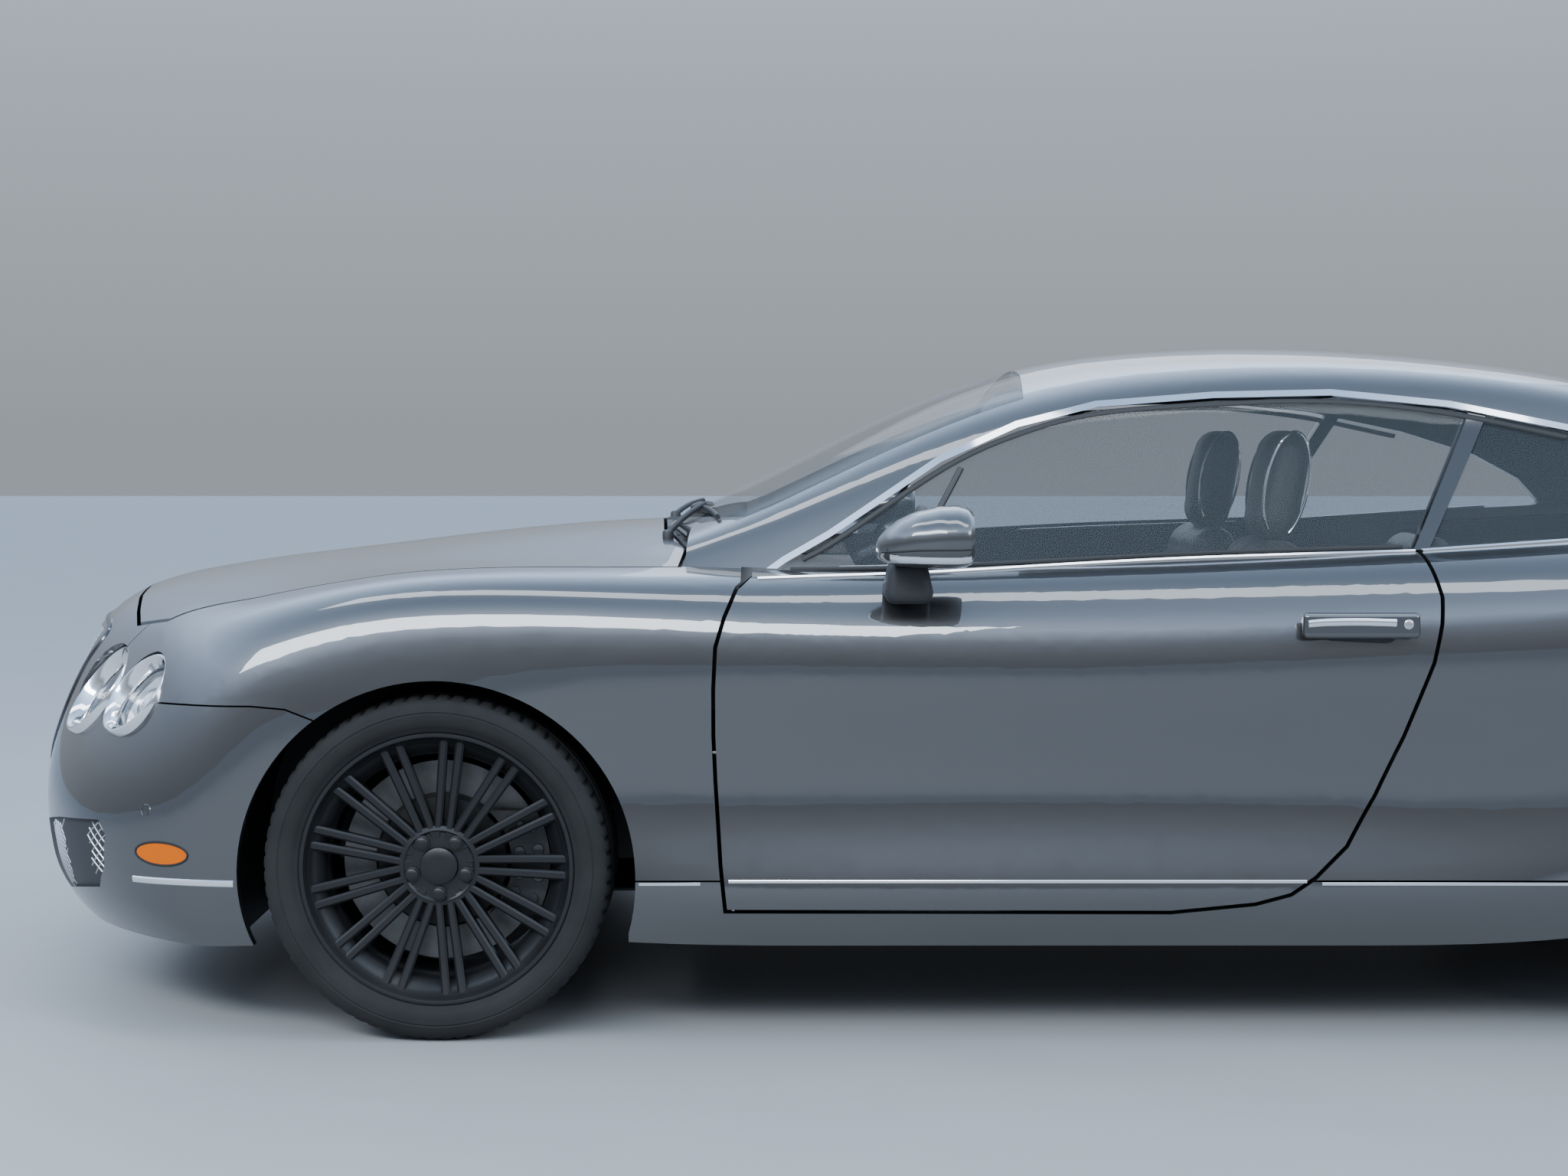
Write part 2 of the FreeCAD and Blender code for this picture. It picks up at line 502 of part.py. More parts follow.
# Running gear: arms and cross members
subframes = []
for axle, y in ((FA, TRACK_FRONT / 2), (RA, TRACK_REAR / 2)):
    pin_y = y - KINGPIN_IN
    solids = [box(axle - 150, axle + 150, -468, 468, 190, 262)]
    pins = []
    for s in (-1, 1):
        for dx in (-130, 130):
            solids.append(rod((axle, s * (pin_y - 28), 232), (axle + dx, s * 440, 226), 17))
            solids.append(rod((axle, s * (pin_y - 28), 512), (axle + dx, s * 450, 508), 12))
        for z in (220, 500):
            solids.append(Part.makeCylinder(KINGPIN_R + 10, 24, V(axle, s * pin_y, z)))
        pins.append(Part.makeCylinder(KINGPIN_R + RUN, 400, V(axle, s * pin_y, 180)))
        solids.append(box(axle - 150, axle + 150, min(s * 430, s * 468), max(s * 430, s * 468), 470, 540))
        solids.append(box(axle - 40, axle + 40, min(s * 430, s * 468), max(s * 430, s * 468), 230, 480))
    subframes.append(solids[0].fuse(solids[1:]).cut(pins[0]).cut(pins[1]))
parts["suspension"] = Part.makeCompound(subframes)

# Floor, bulkheads and arch liners fit the inside of the skin
liner_room = both(Part.makeCompound([cyl_y(axle, WHEEL_Z, r + 6.2, -1100, -469.5) for axle, r in ((FA, 428), (RA, 398))]))
BULKHEAD = (424, 446)
BOOT_WALL = (2325, 2345)
floor_plate = span(430, 2330, z0=150, z1=222).common(deep)
bulkhead = span(BULKHEAD[0], BULKHEAD[1], -1200, 1200, 150, 920).common(inner.common(span(380, 500)))
bulkhead = bulkhead.cut(door_rooms)
tunnel = span(430, 2330, -150, 150, 205, 380)
boot_floor = span(2330, 3900, -429, 429, 400, 425).common(inner)
boot_wall = span(BOOT_WALL[0], BOOT_WALL[1], -540, 540, 205, 920)
rails = both(span(-700, 440, -430, -395, 300, 480))
rear_rails = both(span(2330, 3800, -430, -395, 300, 405).common(inner))
pads = [box(FA + x - 30, FA + x + 30, y - 30, y + 30, 184, 213) for x in (640, 2200) for y in (-800, 800)]
floor = floor_plate.fuse(pads + [bulkhead, tunnel, boot_floor, boot_wall] + rails.Solids + rear_rails.Solids)
parts["floor"] = largest(floor.cut(parts["sills"]).cut(liner_room))
liners = []
for axle, r in ((FA, 428), (RA, 398)):
    liner = cyl_y(axle, WHEEL_Z, r + 6, -1100, -470).cut(cyl_y(axle, WHEEL_Z, r, -1100, -476))
    liner = liner.cut(box(axle - 600, axle + 600, -1200, 0, 0, WHEEL_Z - 60)).cut(widen(SILL, 1.0, -1200, 0))
    liners.append(liner.common(inner).cut(box(axle - 155, axle + 155, -480, -300, 150, 620)))
parts["arch_liners"] = Part.makeCompound(both(Part.makeCompound([largest(s) for s in liners])).Solids)
# Flat trays close the belly between the cross members: start and end behind the front axle, height, trimmed to the skin
TRAYS = [(-1000, -150, 204, True), (150, BULKHEAD[0] - GAP, 204, False), (BOOT_WALL[1] + GAP, 2595, 212, False),
         (2895, 3900, 264, True)]
TRAY_THICK = 6.0
trays = []
for x0, x1, z, trimmed in TRAYS:
    tray = span(x0, x1, -429, 429, z, z + TRAY_THICK)
    trays.append(largest(tray.common(inner)) if trimmed else tray)
parts["undertrays"] = Part.makeCompound(trays)
parts["engine_block"] = box(FA - 330, FA + 330, -300, 300, 262.2, 720)

# Cabin
base = span(1150, 1560, -560, -220, 222, 350)
cushion = span(1120, 1640, -620, -160, 345, 490)
back = side_prism([(1560, 400), (1700, 400), (1830, 1000), (1700, 1010)], -620, -160)
head = side_prism([(1690, 960), (1800, 960), (1838, 1180), (1800, 1226), (1736, 1215), (1712, 1150)], -490, -300)
parts["front_seats"] = both(cushion.fuse([base, back, head]))
parts["rear_seats"] = Part.makeCompound(both(span(1980, 2324, -560, -152, 222.2, 520).fuse(
    [side_prism([(2170, 480), (2324, 480), (2324, 1000), (2250, 1000)], -560, -152)])).Solids)
dash = side_prism([(446.2, 884), (860, 884), (900, 814), (860, 664), (446.2, 624)], -700, 700)
parts["dashboard"] = dash.cut(rod((FA + 1060, -390, 864), (FA + 800, -390, 753.8), 30 + RUN))
parts["centre_console"] = span(700, 1800, -110, 110, 380.2, 580)
ring_c = V(FA + 1060, -390, 864)
column = V(0.92, 0, 0.39)
wheel_ring = Part.makeTorus(185, 15, ring_c, column)
parts["steering_wheel"] = wheel_ring.fuse([rod((FA + 1060, -390, 864), (FA + 860, -390, 779.2), 30),
                                           span(1050, 1070, -567, -213, 849, 879),
                                           Part.makeCylinder(55, 30, ring_c - column * 25, column)])
tip = cyl_x(-560, 330, 52, FA + 3560, FA + 3830)
parts["exhaust_tips"] = both(tip.cut(cyl_x(-560, 330, 46, FA + 3600, FA + 3900)))
parts["rear_bumper"] = parts["rear_bumper"].cut(both(cyl_x(-560, 330, 52.3, FA + 3560, FA + 3900)))
parts["number_plates"] = largest(span(3830, 3862, -260, 260, 504, 614).cut(outer))

for name, shape in parts.items():
    b = shape.BoundBox
    print(name, shape.isValid(), len(shape.Solids), [round(v) for v in (b.XMin, b.XMax, b.YMin, b.YMax, b.ZMin, b.ZMax)])
    shape.exportStep("parts/" + name + ".step")
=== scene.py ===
"""Looks for the two-door coupe: materials, tread, lamps, brightwork, seats and a studio stage."""

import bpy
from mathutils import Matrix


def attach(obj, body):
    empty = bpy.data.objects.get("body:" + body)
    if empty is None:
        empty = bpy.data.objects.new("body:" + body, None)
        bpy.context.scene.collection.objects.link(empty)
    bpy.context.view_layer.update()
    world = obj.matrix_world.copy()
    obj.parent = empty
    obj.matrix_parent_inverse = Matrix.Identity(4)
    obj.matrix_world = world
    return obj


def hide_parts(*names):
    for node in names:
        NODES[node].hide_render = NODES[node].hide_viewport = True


bl_info = {
    "name": "Coupe car looks",
    "version": (1, 0, 0),
    "blender": (4, 2, 0),
    "location": "3D View > Sidebar > Coupe",
    "description": "Dresses the packed coupe with procedural materials and modelled detail",
    "category": "Object",
}

import math
from functools import lru_cache

import bmesh
import bpy
from mathutils import Matrix, Vector
from mathutils.bvhtree import BVHTree

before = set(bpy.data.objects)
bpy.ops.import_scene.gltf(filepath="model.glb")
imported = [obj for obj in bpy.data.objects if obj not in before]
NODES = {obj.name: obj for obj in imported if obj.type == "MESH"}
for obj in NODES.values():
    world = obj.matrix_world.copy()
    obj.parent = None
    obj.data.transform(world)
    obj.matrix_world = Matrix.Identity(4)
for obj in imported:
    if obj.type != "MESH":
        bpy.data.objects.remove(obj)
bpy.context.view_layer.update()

# Axles, wheel centres and foremost point of the body in the frame, in metres
FA = -1.452
RA = 1.293
WHEEL_Z = 0.345
WHEEL_Y = {"front": 0.8115, "rear": 0.8035}
NOSE_X = -2.4135
# Both sides with their sign of y, and the bodies that a pair of pieces rides
SIDES = (("left", -1), ("right", 1))
BODY = ("body", "body")
DOORS = ("door_left", "door_right")
# Directions: down, from the left side to the middle, toward the tail
DOWN = (0, 0, -1)
INWARD = (0, 1, 0)
BACKWARD = (1, 0, 0)


# Materials


def principled(name, color, metallic=0.0, roughness=0.5, coat=0.0, alpha=1.0, specular=0.5, coat_rough=0.03):
    mat = bpy.data.materials.new(name)
    mat.use_nodes = True
    inputs = mat.node_tree.nodes["Principled BSDF"].inputs
    inputs["Base Color"].default_value = (*color[:3], 1.0)
    inputs["Metallic"].default_value = metallic
    inputs["Roughness"].default_value = roughness
    inputs["Coat Weight"].default_value = coat
    inputs["Coat Roughness"].default_value = coat_rough
    inputs["Specular IOR Level"].default_value = specular
    inputs["Alpha"].default_value = alpha
    return mat


def texture(mat, kind, scale):
    tree = mat.node_tree
    tex = tree.nodes.new(kind)
    tex.inputs["Scale"].default_value = scale
    tree.links.new(tree.nodes.new("ShaderNodeTexCoord").outputs["Object"], tex.inputs["Vector"])
    return tree, tex, tree.nodes["Principled BSDF"].inputs


def grain(mat, scale, strength, distance=0.001, kind="ShaderNodeTexNoise"):
    """Fine surface texture as a bump."""
    tree, tex, inputs = texture(mat, kind, scale)
    bump = tree.nodes.new("ShaderNodeBump")
    bump.inputs["Strength"].default_value = strength
    bump.inputs["Distance"].default_value = distance
    height = "Distance" if kind == "ShaderNodeTexVoronoi" else "Fac"
    tree.links.new(tex.outputs[height], bump.inputs["Height"])
    tree.links.new(bump.outputs["Normal"], inputs["Normal"])


def mottle(mat, color, other, scale, detail=4.0):
    """Base colour that wanders softly between two tones."""
    tree, tex, inputs = texture(mat, "ShaderNodeTexNoise", scale)
    tex.inputs["Detail"].default_value = detail
    ramp = tree.nodes.new("ShaderNodeValToRGB")
    for stop, position, tone in zip(ramp.color_ramp.elements, (0.35, 0.65), (color, other)):
        stop.position = position
        stop.color = (*tone, 1.0)
    tree.links.new(tex.outputs["Fac"], ramp.inputs["Fac"])
    tree.links.new(ramp.outputs["Color"], inputs["Base Color"])


CELLS = "ShaderNodeTexVoronoi"
# Looks by name: colour, metallic, roughness, coat, grain as grain() takes it, other shader settings
LOOKS = {
    "chrome": ((0.82, 0.82, 0.83), 1.0, 0.08, 0.0, (60.0, 0.01)),
    "satin_metal": ((0.55, 0.55, 0.56), 1.0, 0.28, 0.0, (300.0, 0.03)),
    # Chrome darkened to a dark grey: painted shade, standing for the dark surroundings that the chrome
    # reflects
    "chrome_with_painted_shade": ((0.1, 0.1, 0.11), 1.0, 0.14, 0.0, (60.0, 0.01)),
    "mesh_bright": ((0.6, 0.6, 0.61), 1.0, 0.22, 0.0, (300.0, 0.03)),
    "mirror": ((0.9, 0.9, 0.92), 1.0, 0.03, 0.0, (30.0, 0.005)),
    "tinted_glass": ((0.05, 0.062, 0.064), 0.0, 0.015, 0.5, (), {"alpha": 0.19, "specular": 0.6}),
    "clear_glass": ((0.75, 0.78, 0.8), 0.0, 0.01, 0.5, (), {"alpha": 0.16, "specular": 0.6}),
    "lamp_white": ((0.56, 0.59, 0.63), 0.7, 0.18, 0.6, (220.0, 0.03)),
    "red_lamp": ((0.35, 0.01, 0.012), 0.0, 0.08, 0.8, (90.0, 0.02)),
    "amber_lamp": ((0.62, 0.115, 0.0), 0.0, 0.35, 0.0, (220.0, 0.1), {"specular": 0.12}),
    "black_gloss": ((0.006, 0.006, 0.007), 0.0, 0.12, 0.6, (40.0, 0.01)),
    "black_plastic": ((0.016, 0.016, 0.017), 0.0, 0.55, 0.0, (900.0, 0.12)),
    "seal_rubber": ((0.008, 0.008, 0.008), 0.0, 0.6, 0.0, (600.0, 0.08)),
    "plate": ((0.72, 0.72, 0.7), 0.0, 0.35, 0.3, (200.0, 0.02)),
    "rim_paint": ((0.009, 0.009, 0.0098), 0.4, 0.42, 0.15, (700.0, 0.05), {"coat_rough": 0.25}),
    "caliper_paint": ((0.03, 0.03, 0.032), 0.2, 0.35, 0.4, (300.0, 0.05)),
    "tyre_rubber": ((0.011, 0.011, 0.011), 0.0, 0.78, 0.0, (260.0, 0.12), {"specular": 0.3}),
    "disc_iron": ((0.14, 0.14, 0.14), 0.9, 0.42, 0.0, (400.0, 0.05)),
    "dark_metal": ((0.05, 0.05, 0.05), 0.7, 0.5, 0.0, (300.0, 0.15)),
    "cast_aluminium": ((0.45, 0.45, 0.45), 0.9, 0.45, 0.0, (350.0, 0.2)),
    "underseal": ((0.02, 0.02, 0.02), 0.0, 0.75, 0.0, (150.0, 0.25)),
    "leather": ((0.028, 0.024, 0.021), 0.0, 0.45, 0.05, (420.0, 0.3, 0.0008, CELLS)),
    "leather_light": ((0.1, 0.085, 0.07), 0.0, 0.45, 0.05, (420.0, 0.3, 0.0008, CELLS)),
    "wood": ((0.11, 0.05, 0.02), 0.0, 0.15, 0.8, (90.0, 0.02)),
    "carpet": ((0.02, 0.019, 0.018), 0.0, 0.95, 0.0, (900.0, 0.5, 0.002)),
}
# Looks that are mottled too: two tones, scale, detail
MOTTLES = {
    "tyre_rubber": ((0.009, 0.009, 0.009), (0.015, 0.0145, 0.014), 9.0),
    "disc_iron": ((0.125, 0.123, 0.12), (0.16, 0.157, 0.155), 30.0),
    "dark_metal": ((0.035, 0.035, 0.036), (0.07, 0.068, 0.066), 12.0),
    "cast_aluminium": ((0.38, 0.38, 0.38), (0.52, 0.52, 0.51), 10.0),
    "underseal": ((0.015, 0.015, 0.015), (0.035, 0.033, 0.031), 6.0),
    "wood": ((0.075, 0.032, 0.013), (0.16, 0.08, 0.035), 26.0, 8.0),
}
MATERIALS = {}


def paint():
    """Metallic body paint with fine flakes under a strong clear coat."""
    s = bpy.context.scene.coupe_paint
    mat = principled("paint", s.color, 0.75, s.roughness, 1.0, coat_rough=0.015)
    mat.node_tree.nodes["Principled BSDF"].inputs["Coat IOR"].default_value = 1.9
    grain(mat, 2600.0, 0.05, 0.0004, CELLS)
    return mat


def table_look(name):
    color, metallic, roughness, coat, bumps, *others = LOOKS[name]
    mat = principled(name, color, metallic, roughness, coat, **(others[0] if others else {}))
    if name in MOTTLES:
        mottle(mat, *MOTTLES[name])
    if bumps:
        grain(mat, *bumps)
    return mat


def look(name):
    """One shared material by name, made on first use."""
    if name not in MATERIALS:
        MATERIALS[name] = paint() if name == "paint" else table_look(name)
    return MATERIALS[name]


def give(look_name, *nodes):
    for node in nodes:
        data = NODES[node].data
        data.materials.clear()
        data.materials.append(look(look_name))


# Geometry helpers


def link(name, data):
    obj = bpy.data.objects.new(name, data)
    bpy.context.scene.collection.objects.link(obj)
    return obj


def mesh_object(name, bm, look_name, body="body"):
    """Makes a smooth-shaded piece that rides a body, its faces turned outward."""
    bmesh.ops.recalc_face_normals(bm, faces=bm.faces[:])
    mesh = bpy.data.meshes.new(name)
    bm.normal_update()
    bm.to_mesh(mesh)
    bm.free()
    obj = link(name, mesh)
    mesh.materials.append(look(look_name))
    mesh.polygons.foreach_set("use_smooth", [True] * len(mesh.polygons))
    mesh.set_sharp_from_angle(angle=math.radians(35))
    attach(obj, body)
    return obj


def turn(k, n):
    """Angle of step k out of n in a full turn."""
    return 2 * math.pi * k / n


def mix(a, b, t):
    return a + (b - a) * t


def oval(a, b, half_a, half_b, n):
    """Pairs of points round an oval."""
    return [(a + half_a * math.cos(turn(k, n)), b + half_b * math.sin(turn(k, n))) for k in range(n)]


def skin(bm, rings, around=True, wrap=False, caps=False):
    """Faces between neighbouring rings; wrap joins the last ring to the first, caps close the ends."""
    n, m = len(rings), len(rings[0])
    for i in range(n if wrap else n - 1):
        p, q = rings[i], rings[(i + 1) % n]
        for k in range(m if around else m - 1):
            bm.faces.new((p[k], q[k], q[(k + 1) % m], p[(k + 1) % m]))
    if caps:
        bm.faces.new(rings[0])
        bm.faces.new(list(reversed(rings[-1])))


def box_mesh(bm, low, high, bevel, segments=3):
    """Adds a box with rounded edges."""
    verts = bmesh.ops.create_cube(bm, size=1.0)["verts"]
    mid = (Vector(low) + Vector(high)) / 2
    size = Vector(high) - Vector(low)
    for v in verts:
        v.co = mid + Vector([c * s for c, s in zip(v.co, size)])
    edges = list({e for v in verts for e in v.link_edges})
    bmesh.ops.bevel(bm, geom=edges, offset=bevel, segments=segments, affect="EDGES", profile=0.5)


def lathe(bm, profile, steps, place, closed=False):
    """Turns a profile of (radius, offset) pairs; place maps radius, offset and angle to a point."""
    rings = [[bm.verts.new(place(r, o, turn(k, steps))) for r, o in profile] for k in range(steps)]
    skin(bm, rings[::-1], around=closed, wrap=True)
    return rings


def crosswise(x, y, z, sign):
    """Places lathe points about a line across the car, offset outward."""
    def place(r, o, a):
        return Vector((x + r * math.cos(a), y + sign * o, z + r * math.sin(a)))
    return place


def facing(centre, look_at):
    """Places lathe points about a line through a point."""
    ahead = Vector(look_at).normalized()
    u = ahead.orthogonal().normalized()
    v = ahead.cross(u)
    c = Vector(centre)

    def place(r, o, a):
        return c + ahead * o + u * (r * math.cos(a)) + v * (r * math.sin(a))
    return place


def wheels():
    """The four wheels: end, side, sign of y, axle, place of lathe points about the wheel's own axle."""
    for end, axle in (("front", FA), ("rear", RA)):
        for side, sign in SIDES:
            yield end, side, sign, axle, crosswise(axle, sign * WHEEL_Y[end], WHEEL_Z, sign)


@lru_cache(maxsize=None)
def surface(*names):
    """Search tree over CAD nodes, for laying trim on them."""
    verts, faces = [], []
    for name in names:
        mesh = NODES[name].data
        base = len(verts)
        verts.extend(v.co.copy() for v in mesh.vertices)
        faces.extend([base + i for i in p.vertices] for p in mesh.polygons)
    return BVHTree.FromPolygons(verts, faces)


def smooth_line(points, per=8):
    """Catmull-Rom points through a short list, for sweeping trim."""
    pts = [Vector(p) for p in points]
    ends = [pts[0] * 2 - pts[1]] + pts + [pts[-1] * 2 - pts[-2]]
    out = []
    for i in range(1, len(ends) - 2):
        p0, p1, p2, p3 = ends[i - 1:i + 3]
        for k in range(per):
            t = k / per
            out.append(0.5 * ((2 * p1) + (p2 - p0) * t + (2 * p0 - 5 * p1 + 4 * p2 - p3) * t * t
                              + (3 * p1 - p0 - 3 * p2 + p3) * t ** 3))
    out.append(pts[-1])
    return out


def lay(tree, points, direction, reach=1.5, skip=False):
    """Drops points on to a surface along a direction: pairs of place and outward normal.
    A point that misses goes to the nearest place, or is left out with skip."""
    d = Vector(direction).normalized()
    out = []
    for p in points:
        hit, normal, _, _ = tree.ray_cast(Vector(p) - d * reach, d)
        if hit is None and skip:
            continue
        if hit is None:
            hit, normal, _, _ = tree.find_nearest(Vector(p))
        out.append((hit, -normal if normal.dot(d) > 0 else normal))
    return out


def on_side(tree, points, per=6, lean=None):
    """Lays a line on the left side, from pairs of distance behind the front axle and height.
    The direction in lean, if there is one, takes the place of the normals."""
    line = smooth_line([(FA + x, -0.9, z) for x, z in points], per)
    laid = [(p, normal) for p, normal in lay(tree, line, INWARD, 0.4, True) if p.y < -0.4]
    return [(p, Vector(lean).normalized()) for p, _ in laid] if lean else laid


def strip(bm, laid, width, height, sink=0.001, closed=False, crown=5):
    """Rounded strip that lies on a surface along laid points."""
    n = len(laid)
    rings = []
    for i, (p, normal) in enumerate(laid):
        before = laid[(i - 1) % n if closed else max(i - 1, 0)][0]
        after = laid[(i + 1) % n if closed else min(i + 1, n - 1)][0]
        along = (after - before).normalized()
        across = along.cross(normal).normalized()
        up = across.cross(along).normalized()
        if up.dot(normal) < 0:
            up = -up
        half = across * (width / 2)
        arc = [math.pi * k / (crown - 1) for k in range(crown)]
        ring = [p - half * math.cos(t) + up * (math.sin(t) * height) for t in arc]
        ring += [p + half - up * sink, p - half - up * sink]
        rings.append([bm.verts.new(q) for q in ring])
    skin(bm, rings, wrap=closed, caps=not closed)


def tube_ring(bm, centre, axis, radius, thick, steps=72, sides=14, flat=1.0):
    """Ring of round or flattened section."""
    place = facing(centre, axis)
    arc = [turn(j, sides) for j in range(sides)]
    rings = [[bm.verts.new(place(radius + thick * math.cos(b), thick * flat * math.sin(b), turn(k, steps)))
              for b in arc] for k in range(steps)]
    skin(bm, rings, wrap=True)


def mirrored(bm):
    """Adds the mirror image across the centre line."""
    made = bmesh.ops.duplicate(bm, geom=bm.verts[:] + bm.edges[:] + bm.faces[:])["geom"]
    for v in made:
        if isinstance(v, bmesh.types.BMVert):
            v.co.y = -v.co.y
    bmesh.ops.reverse_faces(bm, faces=[f for f in made if isinstance(f, bmesh.types.BMFace)])


def twin(name, build, look_name, bodies=BODY):
    """The same piece on the left and, mirrored, on the right."""
    made = []
    for (side, sign), body in zip(SIDES, bodies):
        bm = bmesh.new()
        build(bm)
        for v in bm.verts:
            v.co.y *= -sign
        made.append(mesh_object(f"{name}_{side}", bm, look_name, body))
    return made


# Settings a user would change


class CoupePaint(bpy.types.PropertyGroup):
    color: bpy.props.FloatVectorProperty(
        name="Paint colour", description="Colour of the body paint", size=3, subtype="COLOR",
        default=(0.04, 0.04, 0.041), min=0.0, max=1.0)
    roughness: bpy.props.FloatProperty(
        name="Flake roughness", description="How soft the metal flake looks", default=0.34, min=0.05, max=1.0,
        subtype="FACTOR")


class CoupeWheels(bpy.types.PropertyGroup):
    spoke_width: bpy.props.FloatProperty(
        name="Spoke width", description="Width of one spoke at the rim", default=0.016, unit="LENGTH")
    tread_blocks: bpy.props.IntProperty(
        name="Tread blocks", description="Blocks round the tyre", default=72, min=12)
    groove: bpy.props.FloatProperty(
        name="Groove depth", description="Depth of the tread grooves", default=0.007, unit="LENGTH")


class CoupeTrim(bpy.types.PropertyGroup):
    chrome_width: bpy.props.FloatProperty(
        name="Window trim width", description="Width of the bright window trim", default=0.014, unit="LENGTH")
    mesh_pitch: bpy.props.FloatProperty(
        name="Mesh pitch", description="Distance between the grille wires", default=0.021, unit="LENGTH")


class CoupeCabin(bpy.types.PropertyGroup):
    pressure: bpy.props.FloatProperty(
        name="Seat pressure", description="Air pressure that swells the seat pads", default=4.0, min=0.0)
    swell: bpy.props.FloatProperty(
        name="Seat swell", description="Furthest that a point of a pad may move", default=0.014, min=0.0,
        unit="LENGTH")


class CoupeStage(bpy.types.PropertyGroup):
    floor_color: bpy.props.FloatVectorProperty(
        name="Floor colour", description="Colour of the floor", size=3, subtype="COLOR",
        default=(0.31, 0.31, 0.305), min=0.0, max=1.0)
    light_power: bpy.props.FloatProperty(
        name="Light power", description="Scale of all lamps", default=1.0, min=0.0)
    lens: bpy.props.FloatProperty(
        name="Lens", description="Camera focal length in millimetres", default=54.07, min=10.0)
    camera_height: bpy.props.FloatProperty(
        name="Camera height", description="Camera height above the floor", default=1.204, unit="LENGTH")
    camera_distance: bpy.props.FloatProperty(
        name="Camera distance", description="Camera distance from the centre line", default=5.54,
        unit="LENGTH")
    camera_along: bpy.props.FloatProperty(
        name="Camera position", description="Camera position along the car", default=-0.765, unit="LENGTH")
    camera_pitch: bpy.props.FloatProperty(
        name="Camera pitch", description="Downward tilt of the camera", default=math.radians(3.75),
        unit="ROTATION")


# Body and wheels


class COUPE_OT_bodywork(bpy.types.Operator):
    """Paint on the panels, glass, black on the cowl, underseal and metal below"""
    bl_idname = "coupe.bodywork"
    bl_label = "Bodywork"

    def execute(self, context):
        give("paint", "bonnet", "front_bumper", "front_wings", "door_left", "door_right", "sills", "boot_lid",
             "rear_bumper", "rear_quarters", "roof_and_pillars", "mirror_left", "mirror_right",
             "door_handle_left", "door_handle_right")
        give("black_plastic", "cowl", "arch_liners", "grilles")
        give("underseal", "undertrays")
        give("carpet", "floor")
        give("dark_metal", "suspension", "carriers_rear", "knuckle_front_left", "knuckle_front_right")
        give("cast_aluminium", "engine_block")
        give("tinted_glass", "windscreen", "rear_window", "door_glass_left", "door_glass_right",
             "quarter_glass")
        give("chrome", "exhaust_tips", "window_brightwork")
        give("black_gloss", "window_bars")
        give("red_lamp", "tail_lamps")
        give("amber_lamp", "side_markers")
        give("clear_glass", "headlamps")
        give("plate", "number_plates")
        give("leather", "steering_wheel")
        give("leather_light", "dashboard", "centre_console", "rear_seats", "front_seats")
        for end, side, *_ in wheels():
            give("rim_paint", f"rim_{end}_{side}")
            give("tyre_rubber", f"tyre_{end}_{side}")
            give("disc_iron", f"brake_disc_{end}_{side}")
        return {"FINISHED"}


# Half of the tyre's section: radius, offset outward
TYRE_PROFILE = [
    (0.2545, 0.1105), (0.262, 0.115), (0.272, 0.1215), (0.276, 0.1262), (0.2795, 0.1272), (0.282, 0.13),
    (0.29, 0.1345), (0.3, 0.1366), (0.309, 0.1372), (0.3105, 0.1358), (0.3125, 0.1358), (0.314, 0.1368),
    (0.323, 0.1352), (0.331, 0.132), (0.3372, 0.1265), (0.341, 0.1195), (0.3432, 0.11), (0.3442, 0.0985),
    (0.3445, 0.086), (0.3445, 0.08),
]
TYRE_R = 0.345
# Tread grooves: outer and inner edge, and the slope of their walls
GROOVES = [(0.072, 0.06), (0.034, 0.022)]
GROOVE_SLOPE = 0.0012
# Shoulder that the cross cuts reach: least radius, inner and outer offset
SHOULDER = (0.3405, 0.078, 0.125)
CUT_SHARE = 0.8


class COUPE_OT_tyres(bpy.types.Operator):
    """Tyres with beads, ribs and a grooved tread"""
    bl_idname = "coupe.tyres"
    bl_label = "Tyres"

    def execute(self, context):
        s = context.scene.coupe_wheels
        half = list(TYRE_PROFILE)
        for a, b in GROOVES:
            bottom = TYRE_R - s.groove
            half += [(TYRE_R, a), (bottom, a - GROOVE_SLOPE), (bottom, b + GROOVE_SLOPE), (TYRE_R, b)]
        profile = half + [(r, -o) for r, o in reversed(half)]
        for end, side, _, axle, place in wheels():
            bm = bmesh.new()
            for ring in lathe(bm, profile, s.tread_blocks * 4, place, closed=True)[::4]:
                for (r, o), v in zip(profile, ring):
                    if r > SHOULDER[0] and SHOULDER[1] < abs(o) < SHOULDER[2]:
                        flat = Vector((v.co.x - axle, 0.0, v.co.z - WHEEL_Z))
                        v.co -= flat.normalized() * s.groove * CUT_SHARE
            tyre = mesh_object(f"tyre_{end}_{side}_tread", bm, "tyre_rubber", f"wheel_{end}_{side}")
            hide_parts(f"tyre_{end}_{side}")
        return {"FINISHED"}


# Rim barrel and hub: radius, offset outward
BARREL = [
    (0.2538, -0.1112), (0.2705, -0.1208), (0.2712, -0.1235), (0.2705, -0.1258), (0.263, -0.126),
    (0.248, -0.113), (0.23, -0.094), (0.222, 0.06), (0.23, 0.086), (0.246, 0.099),
    (0.2535, 0.108), (0.259, 0.118), (0.2635, 0.1252), (0.267, 0.1262), (0.2708, 0.1256),
    (0.2712, 0.1235), (0.2705, 0.1208), (0.256, 0.1112), (0.233, 0.076), (0.2355, -0.089),
]
HUB = [
    (0.0, 0.094), (0.018, 0.0938), (0.03, 0.0925), (0.0365, 0.0895), (0.0378, 0.085), (0.0386, 0.0805),
    (0.046, 0.08), (0.0665, 0.08), (0.0715, 0.0838), (0.08, 0.0815), (0.086, 0.068),
    (0.0875, 0.04), (0.0875, 0.03), (0.0, 0.03),
]
SPOKE_PAIRS = 13
